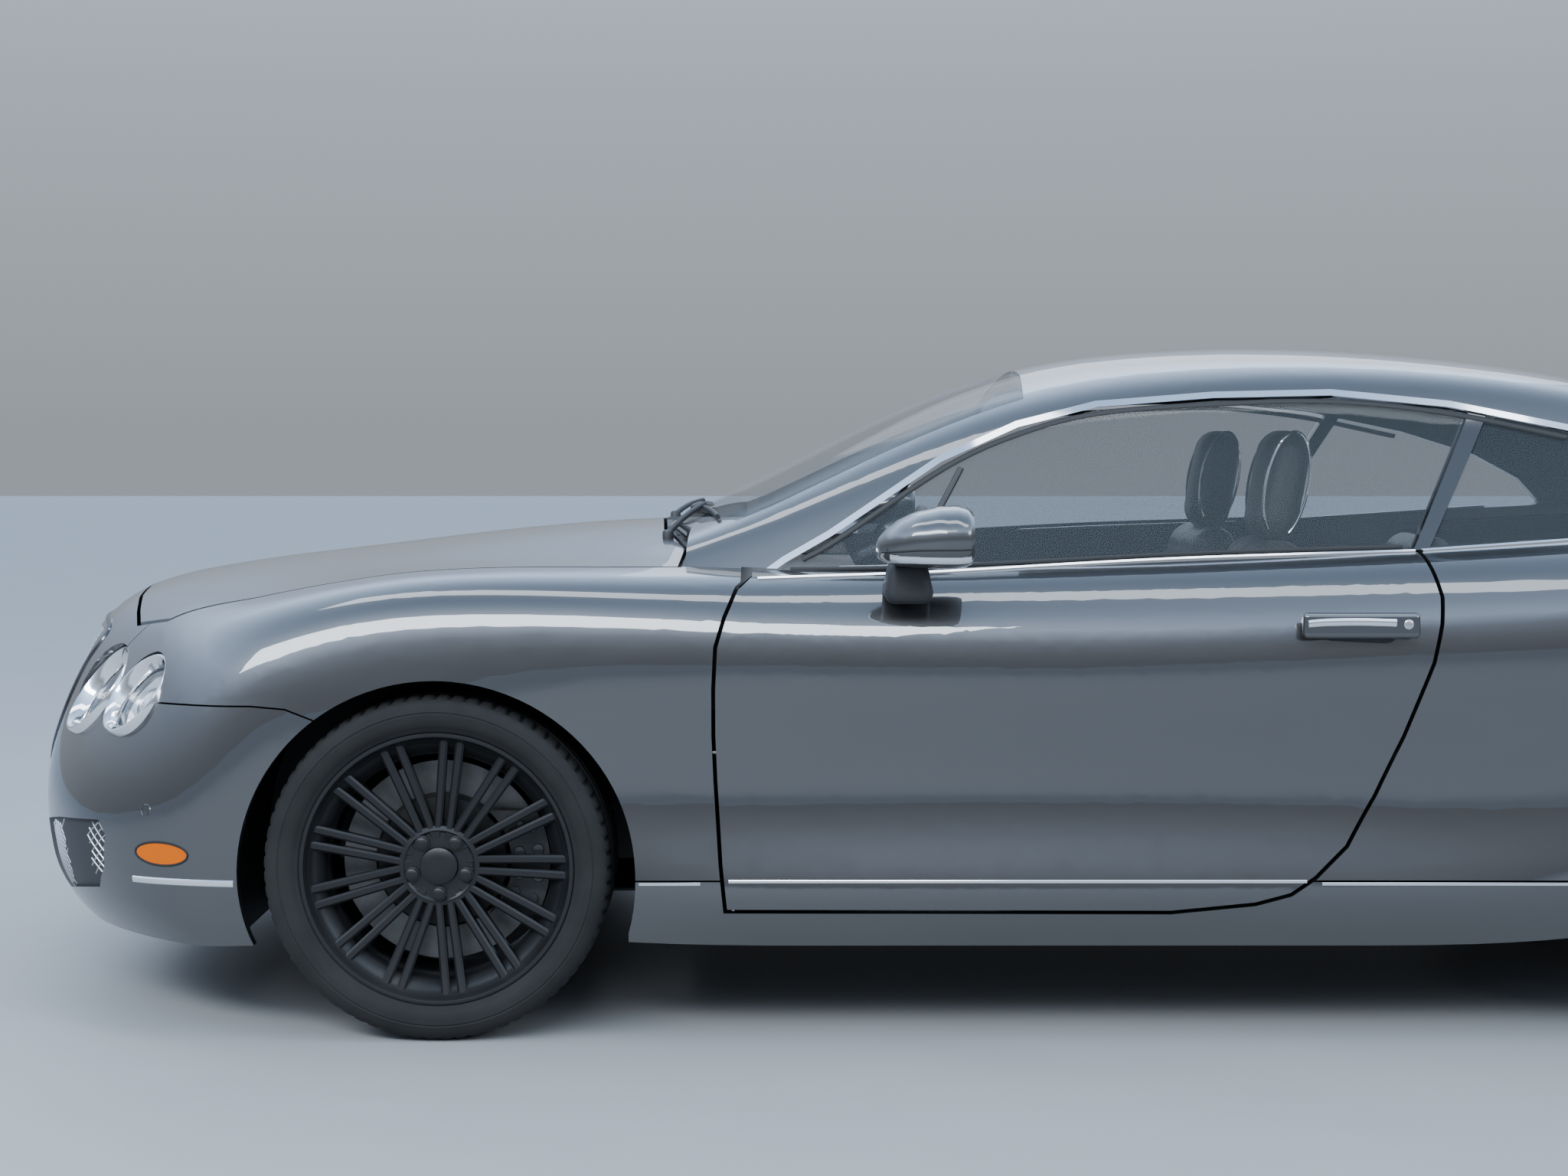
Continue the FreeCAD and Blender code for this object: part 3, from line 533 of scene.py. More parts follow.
# Spoke centre line: radius, offset outward at the face, depth behind it
SPOKE = [(0.052, 0.08, 0.03), (0.09, 0.084, 0.03), (0.14, 0.0905, 0.028), (0.19, 0.0975, 0.026),
         (0.225, 0.103, 0.024), (0.2555, 0.1095, 0.014)]
# Half the distance between the two spokes of a pair, at the hub and at the rim
PAIR_GAP = (0.0108, 0.0165)
# Wheel bolts: how many, their distance from the axle and place outward, section of one
BOLTS = 5
BOLT_REACH = 0.056
BOLT_FOOT = 0.079
BOLT = [(0.015, 0.0), (0.015, 0.005075), (0.012, 0.0058), (0.012, 0.01305), (0.00984, 0.0145),
        (0.0, 0.0145)]


def spoke(bm, angle, way, width, place):
    """One thin spoke: a chamfered bar swept along its centre line."""
    rings = []
    for r, face, deep in SPOKE:
        t = (r - SPOKE[0][0]) / (SPOKE[-1][0] - SPOKE[0][0])
        half = width * (0.5 + 0.06 * t)
        ring = []
        for side, back in ((-1, 0.0035), (-0.55, 0.0), (0.55, 0.0), (1, 0.0035), (0.9, deep), (-0.9, deep)):
            x = way * mix(*PAIR_GAP, t) + side * half
            ring.append(bm.verts.new(place(math.hypot(r, x), face - back, angle + math.atan2(x, r))))
        rings.append(ring)
    skin(bm, rings, caps=True)


class COUPE_OT_rims(bpy.types.Operator):
    """Rims with thirteen pairs of thin spokes, hub, bare cap and bolts"""
    bl_idname = "coupe.rims"
    bl_label = "Rims"

    def execute(self, context):
        s = context.scene.coupe_wheels
        for end, side, sign, axle, place in wheels():
            bm = bmesh.new()
            lathe(bm, BARREL, 96, place, closed=True)
            lathe(bm, HUB, 48, place)
            for k in range(SPOKE_PAIRS):
                for way in (-1, 1):
                    spoke(bm, turn(k, SPOKE_PAIRS), way, s.spoke_width, place)
            for k in range(BOLTS):
                spot = place(BOLT_REACH, BOLT_FOOT, turn(k, BOLTS) - math.pi / 2)
                lathe(bm, BOLT, 18, crosswise(*spot, sign))
            bmesh.ops.remove_doubles(bm, verts=bm.verts[:], dist=1e-6)
            rim = mesh_object(f"rim_{end}_{side}_spokes", bm, "rim_paint", f"wheel_{end}_{side}")
            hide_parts(f"rim_{end}_{side}")
        return {"FINISHED"}


# Dark hat over the disc's middle: radius, offset outward
HAT = [(0.0895, 0.0297), (0.0895, 0.0309), (0.129, 0.0309), (0.1318, 0.0285), (0.1365, 0.0125),
       (0.138, 0.0108), (0.136, 0.0101)]
# Outer face of the calipers, and the caps and studs on it: angle, radius, section, steps round
CALIPER_FACE = 0.0478
CAP = [(0.0, 0.004), (0.0105, 0.0036), (0.012, 0.0018), (0.012, -0.002)]
STUD = [(0.0, 0.009), (0.0065, 0.0085), (0.0072, 0.006), (0.0072, -0.002)]
CALIPER_SPOTS = [(a, r, CAP, 20) for a in (-22, -8, 8, 22) for r in (0.158, 0.196)]
CALIPER_SPOTS += [(a, 0.178, STUD, 12) for a in (-26, 26)]
# Arch skirts: axle, radius, first angle, way round
SKIRTS = [(FA, 0.431, 187.5, 1), (RA, 0.401, -7.5, -1)]
SKIRT_TURN = 12.5
SKIRT_STEPS = 8
SKIRT_SECTION = [(0, -0.855), (0, -0.472), (0.003, -0.472), (0.003, -0.855)]


class COUPE_OT_brakes(bpy.types.Operator):
    """Dark hats in the brake discs, caps and studs on the calipers, skirts at the arches' ends"""
    bl_idname = "coupe.brakes"
    bl_label = "Brakes"

    def execute(self, context):
        for end, side, sign, _, place in wheels():
            bm = bmesh.new()
            lathe(bm, HAT, 72, place, closed=True)
            mesh_object(f"disc_hat_{end}_{side}", bm, "dark_metal", f"wheel_{end}_{side}")
            bm = bmesh.new()
            for a, r, profile, steps in CALIPER_SPOTS:
                spot = place(r, CALIPER_FACE, math.radians(a if end == "front" else 180 - a))
                lathe(bm, profile, steps, facing(spot, (0, sign, 0)))
            body = f"knuckle_{side}" if end == "front" else "body"
            mesh_object(f"caliper_caps_{end}_{side}", bm, "caliper_paint", body)
        bm = bmesh.new()
        for axle, radius, first, way in SKIRTS:
            rings = []
            for k in range(SKIRT_STEPS + 1):
                a = math.radians(first + way * SKIRT_TURN * k / SKIRT_STEPS)
                rings.append([bm.verts.new(crosswise(axle, y, WHEEL_Z, 1)(radius + d, 0.0, a))
                              for d, y in SKIRT_SECTION])
            skin(bm, rings, caps=True)
        mirrored(bm)
        mesh_object("arch_skirts", bm, "black_plastic")
        return {"FINISHED"}


# Trim, lamps and grilles


# CAD nodes that the side trim lies on
DOOR_SKIN = ("door_left", "door_glass_left")
BODY_SKIN = ("front_wings", "rear_quarters", "quarter_glass", "sills", "front_bumper")
DOOR_GLASS = ("door_glass_left",)
ALL_GLASS = ("door_glass_left", "quarter_glass", "window_bars")
# Belt mouldings: name, nodes, (distance behind the front axle, height) pairs, points per span, bodies
BELTS = [
    ("belt_door", DOOR_SKIN, [(0.634, 0.913), (1.004, 0.925), (1.478, 0.95), (1.96, 0.966)], 10, DOORS),
    ("belt_rear", BODY_SKIN, [(1.975, 0.967), (2.269, 0.987), (2.56, 1.008)], 8, BODY),
]
BELT_LEAN = (0, -0.93, 0.36)
BELT_SHARE = 0.9
BELT_HEIGHT = 0.0055
# Other side trim: name, nodes, pairs, points per span, width, height, look, bodies
SIDE_TRIM = [
    ("sill_line_door", DOOR_SKIN, [(0.578, 0.325), (1.1, 0.325), (1.715, 0.325)], 8, 0.008, 0.003,
     "chrome", DOORS),
    ("sill_line_front", BODY_SKIN, [(0.402, 0.3205), (0.562, 0.3205)], 4, 0.008, 0.003, "chrome", BODY),
    ("sill_line_rear", BODY_SKIN, [(1.745, 0.3205), (2.04, 0.3205), (2.335, 0.3205)], 6, 0.008, 0.003,
     "chrome", BODY),
    ("bumper_strip", BODY_SKIN, [(-0.618, 0.313), (-0.51, 0.316), (-0.402, 0.315)], 6, 0.014, 0.003,
     "chrome", BODY),
    ("window_seal", ALL_GLASS,
     [(0.724, 0.949), (0.793, 0.987), (1.016, 1.134), (1.176, 1.205), (1.338, 1.246), (1.578, 1.265),
      (1.821, 1.27), (2.056, 1.246), (2.298, 1.197)], 6, 0.013, 0.0025, "seal_rubber", BODY),
    ("belt_seal", DOOR_GLASS, [(0.7, 0.929), (1.004, 0.9365), (1.478, 0.961), (1.935, 0.976)], 8,
     0.01, 0.004, "seal_rubber", DOORS),
    ("vent_bar", DOOR_GLASS, [(1.05, 1.134), (1.000, 1.046), (0.93, 0.935)], 4, 0.013, 0.004,
     "black_plastic", DOORS),
]


class COUPE_OT_brightwork(bpy.types.Operator):
    """Bright belt and sill lines, window seals and the thin bumper strip"""
    bl_idname = "coupe.brightwork"
    bl_label = "Brightwork"

    def execute(self, context):
        belt = context.scene.coupe_trim.chrome_width * BELT_SHARE
        for name, nodes, pairs, per, bodies in BELTS:
            laid = on_side(surface(*nodes), pairs, per, BELT_LEAN)
            twin(name, lambda bm: strip(bm, laid, belt, BELT_HEIGHT), "chrome", bodies)
        for name, nodes, pairs, per, width, height, look_name, bodies in SIDE_TRIM:
            laid = on_side(surface(*nodes), pairs, per)
            twin(name, lambda bm: strip(bm, laid, width, height), look_name, bodies)
        return {"FINISHED"}


# Round lamps: centre as distance behind the front axle, y and height, then radius and direction they look in
LAMPS = [((-0.771, -0.56, 0.666), 0.1, (-0.7, -0.38, 0.6)),
         ((-0.645, -0.732, 0.675), 0.089, (-0.62, -0.5, 0.6))]
# Turned parts of a lamp: name, steps round, closed or not, points as (share of its radius, more, offset)
LAMP_PARTS = [
    ("lens", 72, False, [
        (0.82, 0, -0.0345), (0.79, 0, -0.0285), (0.6, 0, -0.0245), (0.3, 0, -0.0225), (0, 0, -0.022)]),
    ("cup", 48, False, [
        (1, 0.0066, -0.095), (1, 0.0066, -0.02), (1, 0.004, -0.02), (1, 0.004, -0.09), (0, 0, -0.09),
        (0, 0, -0.095)]),
    ("rims", 72, True, [
        (0.865, 0, -0.036), (0.875, 0, -0.0275), (0.9, 0, -0.0215), (0.935, 0, -0.012), (0.97, 0, -0.003),
        (1, 0.0005, 0.0008), (1, 0.0045, 0.0008), (1, 0.0066, -0.003), (1, 0.0066, -0.03)]),
    # Dark ring between the bright cone and the lens: painted shade of the lamp's recess
    ("painted_shade_rings", 64, False, [(0.87, 0, -0.0285), (0.83, 0, -0.0335), (0.79, 0, -0.036), (0.785, 0, -0.041)]),
    ("bowls", 64, False, [
        (0.8, 0, -0.04), (0.75, 0, -0.05), (0.64, 0, -0.06), (0.46, 0, -0.07), (0.3, 0, -0.073)]),
    # Dark ring round the inner bowl: painted shade of the lamp's recess
    ("painted_shade_rings", 48, False, [(0.4, 0, -0.07), (0.4, 0, -0.04), (0.37, 0, -0.035), (0.3, 0, -0.033)]),
    ("bowls", 40, False, [(0.3, 0, -0.035), (0.22, 0, -0.029), (0.12, 0, -0.0265), (0, 0, -0.026)]),
]
# Middle of the side marker and its half length and half height, as seen from the side
MARKER = (-0.551, 0.371, 0.0585, 0.0235)
SENSOR = (FA - 0.584, -0.9, 0.455)
SENSOR_RINGS = [(0.0, 0.0006), (0.0095, 0.0004), (0.0102, -0.0006), (0.0112, -0.0006), (0.012, 0.001),
                (0.013, 0.0)]


class COUPE_OT_lamps(bpy.types.Operator):
    """Twin round headlamps with bright rims and bowls and dark rings of painted shade inside them, rims of
    the markers and park sensors
    """
    bl_idname = "coupe.lamps"
    bl_label = "Lamps"

    def execute(self, context):
        meshes = {name: bmesh.new() for name in ("cups", "rims", "bowls", "painted_shade_rings")}
        for (x, y, z), r, ahead in LAMPS:
            place = facing((FA + x, y, z), ahead)
            for part, steps, closed, points in LAMP_PARTS:
                bm = meshes.get(part, meshes["cups"])
                start = len(bm.faces)
                lathe(bm, [(r * share + more, o) for share, more, o in points], steps, place, closed)
                bm.faces.ensure_lookup_table()
                for f in bm.faces[start:]:
                    f.material_index = int(part == "cup")
        for bm in meshes.values():
            mirrored(bm)
        lamp = mesh_object("headlamp_cups", meshes["cups"], "clear_glass")
        lamp.data.materials.append(look("black_plastic"))
        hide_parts("headlamps")
        mesh_object("headlamp_rims", meshes["rims"], "chrome")
        mesh_object("headlamp_bowls", meshes["bowls"], "lamp_white")
        # Dark rings inside the lamps in darkened chrome: painted shade where the recess lies in shade
        mesh_object("headlamp_shade_painted", meshes["painted_shade_rings"], "chrome_with_painted_shade")
        bumper = surface("front_bumper", "side_markers")
        rim = on_side(bumper, oval(*MARKER, 40), 1)[:-1]
        twin("marker_rim", lambda bm: strip(bm, rim, 0.005, 0.0018, closed=True), "seal_rubber")
        spot = facing(*lay(bumper, [SENSOR], INWARD, 0.4)[0])
        twin("park_sensor", lambda bm: lathe(bm, SENSOR_RINGS, 36, spot), "paint")
        return {"FINISHED"}


# Main grille outline: y, height; its surround lies outside it by these shares, about this height
GRILLE = [(-0.34, 0.5), (0.0, 0.496), (0.34, 0.5), (0.388, 0.58), (0.392, 0.7), (0.35, 0.776),
          (0.0, 0.78), (-0.35, 0.776), (-0.392, 0.7), (-0.388, 0.58)]
GRILLE_WIDER = 1.035
GRILLE_TALLER = 1.07
GRILLE_MIDDLE = 0.64
# Openings with mesh: lowest and highest y, lowest and highest height
OPENINGS = [(-0.4, 0.4, 0.49, 0.79), (-0.45, 0.45, 0.21, 0.385), (-0.83, -0.75, 0.21, 0.43),
            (-0.64, -0.47, 0.21, 0.43), (0.47, 0.64, 0.21, 0.43), (0.75, 0.83, 0.21, 0.43)]
# Ahead of the nose, where lines are laid back from; half width and height of a wire, its steps
AHEAD_X = -2.6
WIRE = 0.0016
WIRE_STEPS = 14
# The plates behind the openings all lie ahead of this
PLATES_END = FA - 0.45


def weave(bm, tree, y0, y1, z0, z1, pitch):
    """Diagonal wires both ways over one opening, kept where they meet the plate behind it."""
    height = z1 - z0
    for way in (-1, 1):
        start = y0 - height
        while start < y1 + height:
            run = []
            for k in range(WIRE_STEPS + 2):
                t = k / WIRE_STEPS
                y = start + height * (t if way > 0 else 1 - t)
                hit = None
                if k <= WIRE_STEPS and y0 <= y <= y1:
                    ahead = Vector((AHEAD_X, y, z0 + height * t))
                    hit, normal, _, _ = tree.ray_cast(ahead, Vector(BACKWARD))
                if hit is not None and hit.x < PLATES_END:
                    run.append((hit, normal if normal.x < 0 else -normal))
                    continue
                if len(run) > 2:
                    strip(bm, run, WIRE * 2, WIRE, 0.0005, crown=3)
                run = []
            start += pitch


class COUPE_OT_grilles(bpy.types.Operator):
    """Bright woven mesh over dark plates, with a chrome surround darkened as painted shade on the main grille
    """
    bl_idname = "coupe.grilles"
    bl_label = "Grilles"

    def execute(self, context):
        bm = bmesh.new()
        for opening in OPENINGS:
            weave(bm, surface("grilles"), *opening, context.scene.coupe_trim.mesh_pitch)
        mesh_object("grille_wires", bm, "mesh_bright")
        bm = bmesh.new()
        outline = [(AHEAD_X, y * GRILLE_WIDER, GRILLE_MIDDLE + (z - GRILLE_MIDDLE) * GRILLE_TALLER)
                   for y, z in GRILLE + GRILLE[:1]]
        nose = surface("front_bumper", "bonnet", "front_wings")
        laid = lay(nose, smooth_line(outline, 6)[:-1], BACKWARD, 0.3)
        strip(bm, laid, 0.018, 0.0045, 0.003, closed=True)
        for v in bm.verts:
            v.co.x = max(v.co.x, NOSE_X)
        # The grille surround is chrome darkened as painted shade
        mesh_object("grille_surround", bm, "chrome_with_painted_shade")
        return {"FINISHED"}


# Mirror housing: distance behind the front axle, half width, half height, middle height
MIRROR = [(0.863, 0.01, 0.008, 0.982), (0.868, 0.032, 0.02, 0.984), (0.882, 0.058, 0.032, 0.988),
          (0.905, 0.082, 0.044, 0.994), (0.94, 0.104, 0.054, 1.001), (0.985, 0.113, 0.06, 1.005),
          (1.02, 0.112, 0.0605, 1.006), (1.038, 0.108, 0.057, 1.006), (1.0465, 0.1, 0.051, 1.006)]
# Its middle y; points round it and steps along it
MIRROR_Y = -1.016
MIRROR_SIDES = 48
MIRROR_ROWS = 28
# Its glass: distance behind the front axle, half width, half height, middle height
MIRROR_GLASS = (1.0472, 0.094, 0.046, 1.006)
# Strips on its outer side: name, first and last distance and angle, width, height, look
MIRROR_STRIPS = [("mirror_lamp", 0.89, 1.04, 212, 216, 0.02, 0.003, "lamp_white"),
                 ("mirror_seam", 0.874, 1.044, 193, 197, 0.004, 0.0012, "seal_rubber")]


def mirror_point(x, a):
    """Point on the mirror housing: distance behind the front axle, angle seen from the front."""
    k = max(i for i in range(len(MIRROR) - 1) if MIRROR[i][0] <= x)
    (x0, *p), (x1, *q) = MIRROR[k], MIRROR[k + 1]
    half_y, half_z, middle = (mix(u, w, (x - x0) / (x1 - x0)) for u, w in zip(p, q))
    c, s = (math.copysign(abs(v) ** 0.85, v) for v in (math.cos(a), math.sin(a)))
    return Vector((FA + x, MIRROR_Y + half_y * c, middle + half_z * s))


def mirror_shell(bm):
    rings = []
    for k in range(MIRROR_ROWS + 1):
        x = mix(MIRROR[0][0], MIRROR[-1][0], (1 - math.cos(math.pi * k / MIRROR_ROWS)) / 2)
        rings.append([bm.verts.new(mirror_point(x, turn(j, MIRROR_SIDES))) for j in range(MIRROR_SIDES)])
    skin(bm, rings, caps=True)


def mirror_glass(bm):
    x, half_y, half_z, middle = MIRROR_GLASS

    def place(r, o, a):
        return Vector((FA + x + o, MIRROR_Y + r * half_y * math.cos(a), middle + r * half_z * math.sin(a)))
    lathe(bm, [(0.0, 0.0), (0.5, 0.0), (0.93, 0.0), (1.0, -0.002)], MIRROR_SIDES, place)


def mirror_foot(bm):
    box_mesh(bm, (FA + 0.882, -0.99, 0.873), (FA + 0.978, -0.845, 0.958), 0.022, 4)
    for v in bm.verts:
        v.co.x += (0.93 + FA - v.co.x) * 0.3 * max(0.0, (v.co.z - 0.9) / 0.06)


def handle_bright(bm):
    pairs = [(1.706, 0.8355), (1.74, 0.838), (1.8, 0.839), (1.85, 0.838), (1.877, 0.837)]
    strip(bm, on_side(surface("door_handle_left"), pairs, 6), 0.014, 0.0022)


def handle_lock(bm):
    place = facing((FA + 1.9005, -0.981, 0.834), (0, -1, 0))
    lathe(bm, [(0.0, 0.0025), (0.0075, 0.0025), (0.0095, 0.0015), (0.01, -0.001)], 32, place)


class COUPE_OT_mirrors(bpy.types.Operator):
    """Door mirrors with lamp band, seam, glass and dark foot, bright strips and locks at the door handles"""
    bl_idname = "coupe.mirrors"
    bl_label = "Mirrors and handles"

    def execute(self, context):
        for (side, _), piece in zip(SIDES, twin("mirror_shell", mirror_shell, "paint", DOORS)):
            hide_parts(f"mirror_{side}")
        for name, x0, x1, a0, a1, width, height, look_name in MIRROR_STRIPS:
            line = [(mirror_point(mix(x0, x1, t), math.radians(mix(a0, a1, t))), Vector((0, -1, -0.2)))
                    for t in (k / 20 for k in range(21))]
            twin(name, lambda bm: strip(bm, line, width, height), look_name, DOORS)
        twin("mirror_glass", mirror_glass, "mirror", DOORS)
        twin("mirror_foot", mirror_foot, "black_plastic", DOORS)
        twin("handle_bright", handle_bright, "chrome", DOORS)
        twin("handle_lock", handle_lock, "satin_metal", DOORS)
        return {"FINISHED"}


# Wipers: both ends of the blade and the pivot, each as distance behind the front axle and y
WIPERS = [((0.55, -0.6), (0.475, -0.02), (0.435, -0.42)), ((0.475, 0.02), (0.505, 0.5), (0.425, 0.16))]
PIVOT_RINGS = [(0.0, 0.016), (0.009, 0.016), (0.012, 0.012), (0.013, -0.01)]
# Height that lines are laid down from; slats in the cowl and half their row's width
ABOVE_Z = 0.9
SLATS = 46
SLATS_HALF_WIDTH = 0.58


class COUPE_OT_wipers(bpy.types.Operator):
    """Wipers on the screen and slats in the cowl"""
    bl_idname = "coupe.wipers"
    bl_label = "Wipers and cowl"

    def execute(self, context):
        tree = surface("windscreen", "cowl", "bonnet", "front_wings")
        bm = bmesh.new()
        for a, b, pivot in WIPERS:
            line = [(FA + mix(a[0], b[0], t), mix(a[1], b[1], t), ABOVE_Z) for t in (0, 0.25, 0.5, 0.75, 1)]
            laid = [(p + normal * 0.006, normal) for p, normal in lay(tree, smooth_line(line, 6), DOWN, 0.8)]
            strip(bm, laid, 0.01, 0.007, 0.005)
            middle = laid[len(laid) // 2][0]
            root, up = lay(tree, [(FA + pivot[0], pivot[1], ABOVE_Z)], DOWN, 0.8)[0]
            arm = [(mix(root, middle, t) + up * (0.01 + 0.006 * math.sin(math.pi * t)), up)
                   for t in (0, 0.2, 0.4, 0.6, 0.8, 1.0)]
            strip(bm, arm, 0.014, 0.005, 0.004)
            lathe(bm, PIVOT_RINGS, 20, facing(root, up))
        mesh_object("wipers", bm, "black_plastic")
        bm = bmesh.new()
        for k in range(SLATS):
            y = mix(-SLATS_HALF_WIDTH, SLATS_HALF_WIDTH, k / (SLATS - 1))
            x = FA + 0.415 + 0.055 * (y / SLATS_HALF_WIDTH) ** 2
            slat = [(x + long, y, ABOVE_Z) for long in (0.0, 0.016, 0.032)]
            strip(bm, lay(surface("cowl"), slat, DOWN, 0.8), 0.006, 0.003, 0.001, crown=3)
        mesh_object("cowl_slats", bm, "black_plastic")
        return {"FINISHED"}


# Cabin


def block(bm, half, r, cuts=16):
    """Rounded block about the origin, from a gridded cube."""
    made = bmesh.ops.create_cube(bm, size=2.0)
    edges = list({e for v in made["verts"] for e in v.link_edges})
    bmesh.ops.subdivide_edges(bm, edges=edges, cuts=cuts, use_grid_fill=True)
    for v in bm.verts:
        q = Vector([c * h for c, h in zip(v.co, half)])
        core = Vector([max(-(h - r), min(h - r, c)) for c, h in zip(q, half)])
        d = q - core
        v.co = core + (d.normalized() * r if d.length > 1e-9 else d)


def swell(obj, voxel, pressure, cap):
    """Remeshes a pad and swells it as cloth under pressure, no point moving more than the cap."""
    remesh = obj.modifiers.new("remesh", "REMESH")
    remesh.mode = "VOXEL"
    remesh.voxel_size = voxel
    graph = bpy.context.evaluated_depsgraph_get()
    data = bpy.data.meshes.new_from_object(obj.evaluated_get(graph))
    obj.modifiers.clear()
    obj.data = data
    cloth = obj.modifiers.new("cloth", "CLOTH")
    cloth.settings.quality = 4
    cloth.settings.use_pressure = True
    cloth.settings.uniform_pressure_force = pressure
    cloth.settings.effector_weights.gravity = 0.0
    cloth.settings.bending_stiffness = 0.6
    cloth.collision_settings.use_collision = False
    cloth.point_cache.frame_start = 1
    cloth.point_cache.frame_end = 20
    scene = bpy.context.scene
    for step in range(1, 21):
        scene.frame_set(step)
    graph = bpy.context.evaluated_depsgraph_get()
    moved = obj.evaluated_get(graph).data
    for v, w in zip(obj.data.vertices, moved.vertices):
        d = w.co - v.co
        if d.length > cap:
            d *= cap / d.length
        v.co = v.co + d
    obj.modifiers.clear()
    scene.frame_set(1)


def groove(t, lines, width):
    """Depth of the nearest sewn line, from 1 on it to 0 at its edge."""
    near = min(abs(t - c) for c in lines)
    return max(0.0, 1.0 - near / width) ** 2


CHANNELS = (-0.62, -0.31, 0.0, 0.31, 0.62)
# Soft pads: name, half size, corner radius, sewn lines along and across in half sizes, place as distance
# behind the front axle and height, lean in degrees
PADS = [
    ("front_cushion", (0.25, 0.222, 0.064), 0.055, (-0.6, 0.72), CHANNELS, (1.378, 0.418), 3.0),
    ("front_back", (0.3, 0.222, 0.058), 0.052, (-0.55, 0.7), CHANNELS, (1.7, 0.703), 78.0),
    ("front_headrest", (0.134, 0.094, 0.06), 0.052, (), (-0.72, 0.72), (1.766, 1.088), 80.0),
    ("rear_cushion", (0.155, 0.196, 0.13), 0.06, (-0.45,), CHANNELS, (2.14, 0.378), 4.0),
    ("rear_back", (0.235, 0.196, 0.05), 0.046, (-0.55, 0.72), CHANNELS, (2.262, 0.74), 83.0),
]
PAD_VOXEL = 0.01
# Distance of the seats' middles from the centre line
SEAT_Y = {"front": 0.39, "rear": 0.356}
# Raised sides of the front seats: where they begin, over what share they rise, how high
BOLSTER = (0.7, 0.15, 0.016)
SEAM_DEPTH = 0.007
# Place and lean of the headrest's rods and piping
HEADREST = (1.766, 1.094, 80.0)


def pad_place(x, z, lean, y):
    return Matrix.Translation((FA + x, y, z)) @ Matrix.Rotation(math.radians(-lean), 4, "Y")


def sew(bm, half, along, across, bolster):
    """Presses the sewn lines into the upper face of a pad and raises its sides."""
    limits = (half[0] * 1.02, half[1] * 1.02, half[2] * 1.15)
    for v in bm.verts:
        u, w = v.co.x / half[0], v.co.y / half[1]
        face = max(0.0, v.normal.z)
        sink = groove(u, along, 0.045) if along else 0.0
        if not along or along[0] < u < along[-1]:
            sink = max(sink, groove(w, across, 0.06))
        if bolster and abs(w) > BOLSTER[0]:
            v.co.z += BOLSTER[2] * face * min(1.0, (abs(w) - BOLSTER[0]) / BOLSTER[1])
        v.co -= v.normal * SEAM_DEPTH * sink * face
        for k, (low, high) in enumerate(zip(half, limits)):
            v.co[k] = max(-low * 1.02, min(high, v.co[k]))
    bmesh.ops.smooth_vert(bm, verts=bm.verts, factor=0.3, use_axis_x=True, use_axis_y=True, use_axis_z=True)


def headrest_rods(bm, back):
    for dy in (-0.05, 0.05):
        lathe(bm, [(0.0, -0.22), (0.007, -0.22), (0.007, -0.09), (0.0, -0.09)], 16,
              lambda r, o, a: back @ Vector((o, dy + r * math.cos(a), r * math.sin(a))))


def headrest_piping(bm, back):
    for side in (-1, 1):
        out = (back.to_3x3() @ Vector((0, side, 0))).normalized()
        arc = [math.radians(-150 + 300 * k / 28) for k in range(29)]
        line = [back @ Vector((0.116 * math.cos(a), side * 0.0945, 0.046 * math.sin(a))) for a in arc]
        strip(bm, [(p, out) for p in line], 0.006, 0.003, 0.001)


class COUPE_OT_seats(bpy.types.Operator):
    """Padded leather seats with sewn channels, bright piping and tall headrests"""
    bl_idname = "coupe.seats"
    bl_label = "Seats"

    def execute(self, context):
        s = context.scene.coupe_cabin
        for name, half, r, along, across, (x, z), lean in PADS:
            row, part = name.split("_")
            bm = bmesh.new()
            block(bm, [h - 0.01 for h in half], r)
            pad = mesh_object(name, bm, "leather")
            swell(pad, PAD_VOXEL, s.pressure, s.swell)
            sewn = bmesh.new()
            sewn.from_mesh(pad.data)
            sew(sewn, half, along, across, row == "front" and part != "headrest")
            bpy.data.objects.remove(pad)
            for side, sign in SIDES:
                bm = sewn.copy()
                bmesh.ops.transform(bm, matrix=pad_place(x, z, lean, sign * SEAT_Y[row]), verts=bm.verts)
                piece = mesh_object(f"{name}_{side}", bm, "leather")
                if side == "left" and name == "front_cushion":
                    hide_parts("front_seats")
                if side == "left" and name == "rear_cushion":
                    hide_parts("rear_seats")
        bases, piping = bmesh.new(), bmesh.new()
        for y in (-SEAT_Y["front"], SEAT_Y["front"]):
            box_mesh(bases, (FA + 1.16, y - 0.165, 0.2225), (FA + 1.55, y + 0.165, 0.36), 0.02)
            back = pad_place(*HEADREST, y)
            headrest_rods(bases, back)
            headrest_piping(piping, back)
        mesh_object("seat_bases", bases, "black_plastic")
        mesh_object("headrest_trim", piping, "chrome")
        return {"FINISHED"}


# Steering wheel: centre and direction of its column, radius and half thickness of the grip
WHEEL_CENTRE = Vector((FA + 1.06, -0.39, 0.864))
COLUMN = Vector((0.92, 0, 0.39)).normalized()
GRIP = (0.185, 0.0148)
WHEEL_BOSS = [(0.0, 0.014), (0.03, 0.014), (0.052, 0.008), (0.062, -0.006), (0.06, -0.03), (0.0, -0.034)]
WHEEL_SHROUD = [(0.0, -0.03), (0.028, -0.03), (0.029, -0.2), (0.0, -0.2)]
# Ways of its four spokes: to the right, upward
WHEEL_SPOKES = [(1, 0.16), (-1, 0.16), (0.55, -0.83), (-0.55, -0.83)]
VENTS_Y = (-0.62, -0.09, 0.09, 0.62)
VENTS_Z = 0.765
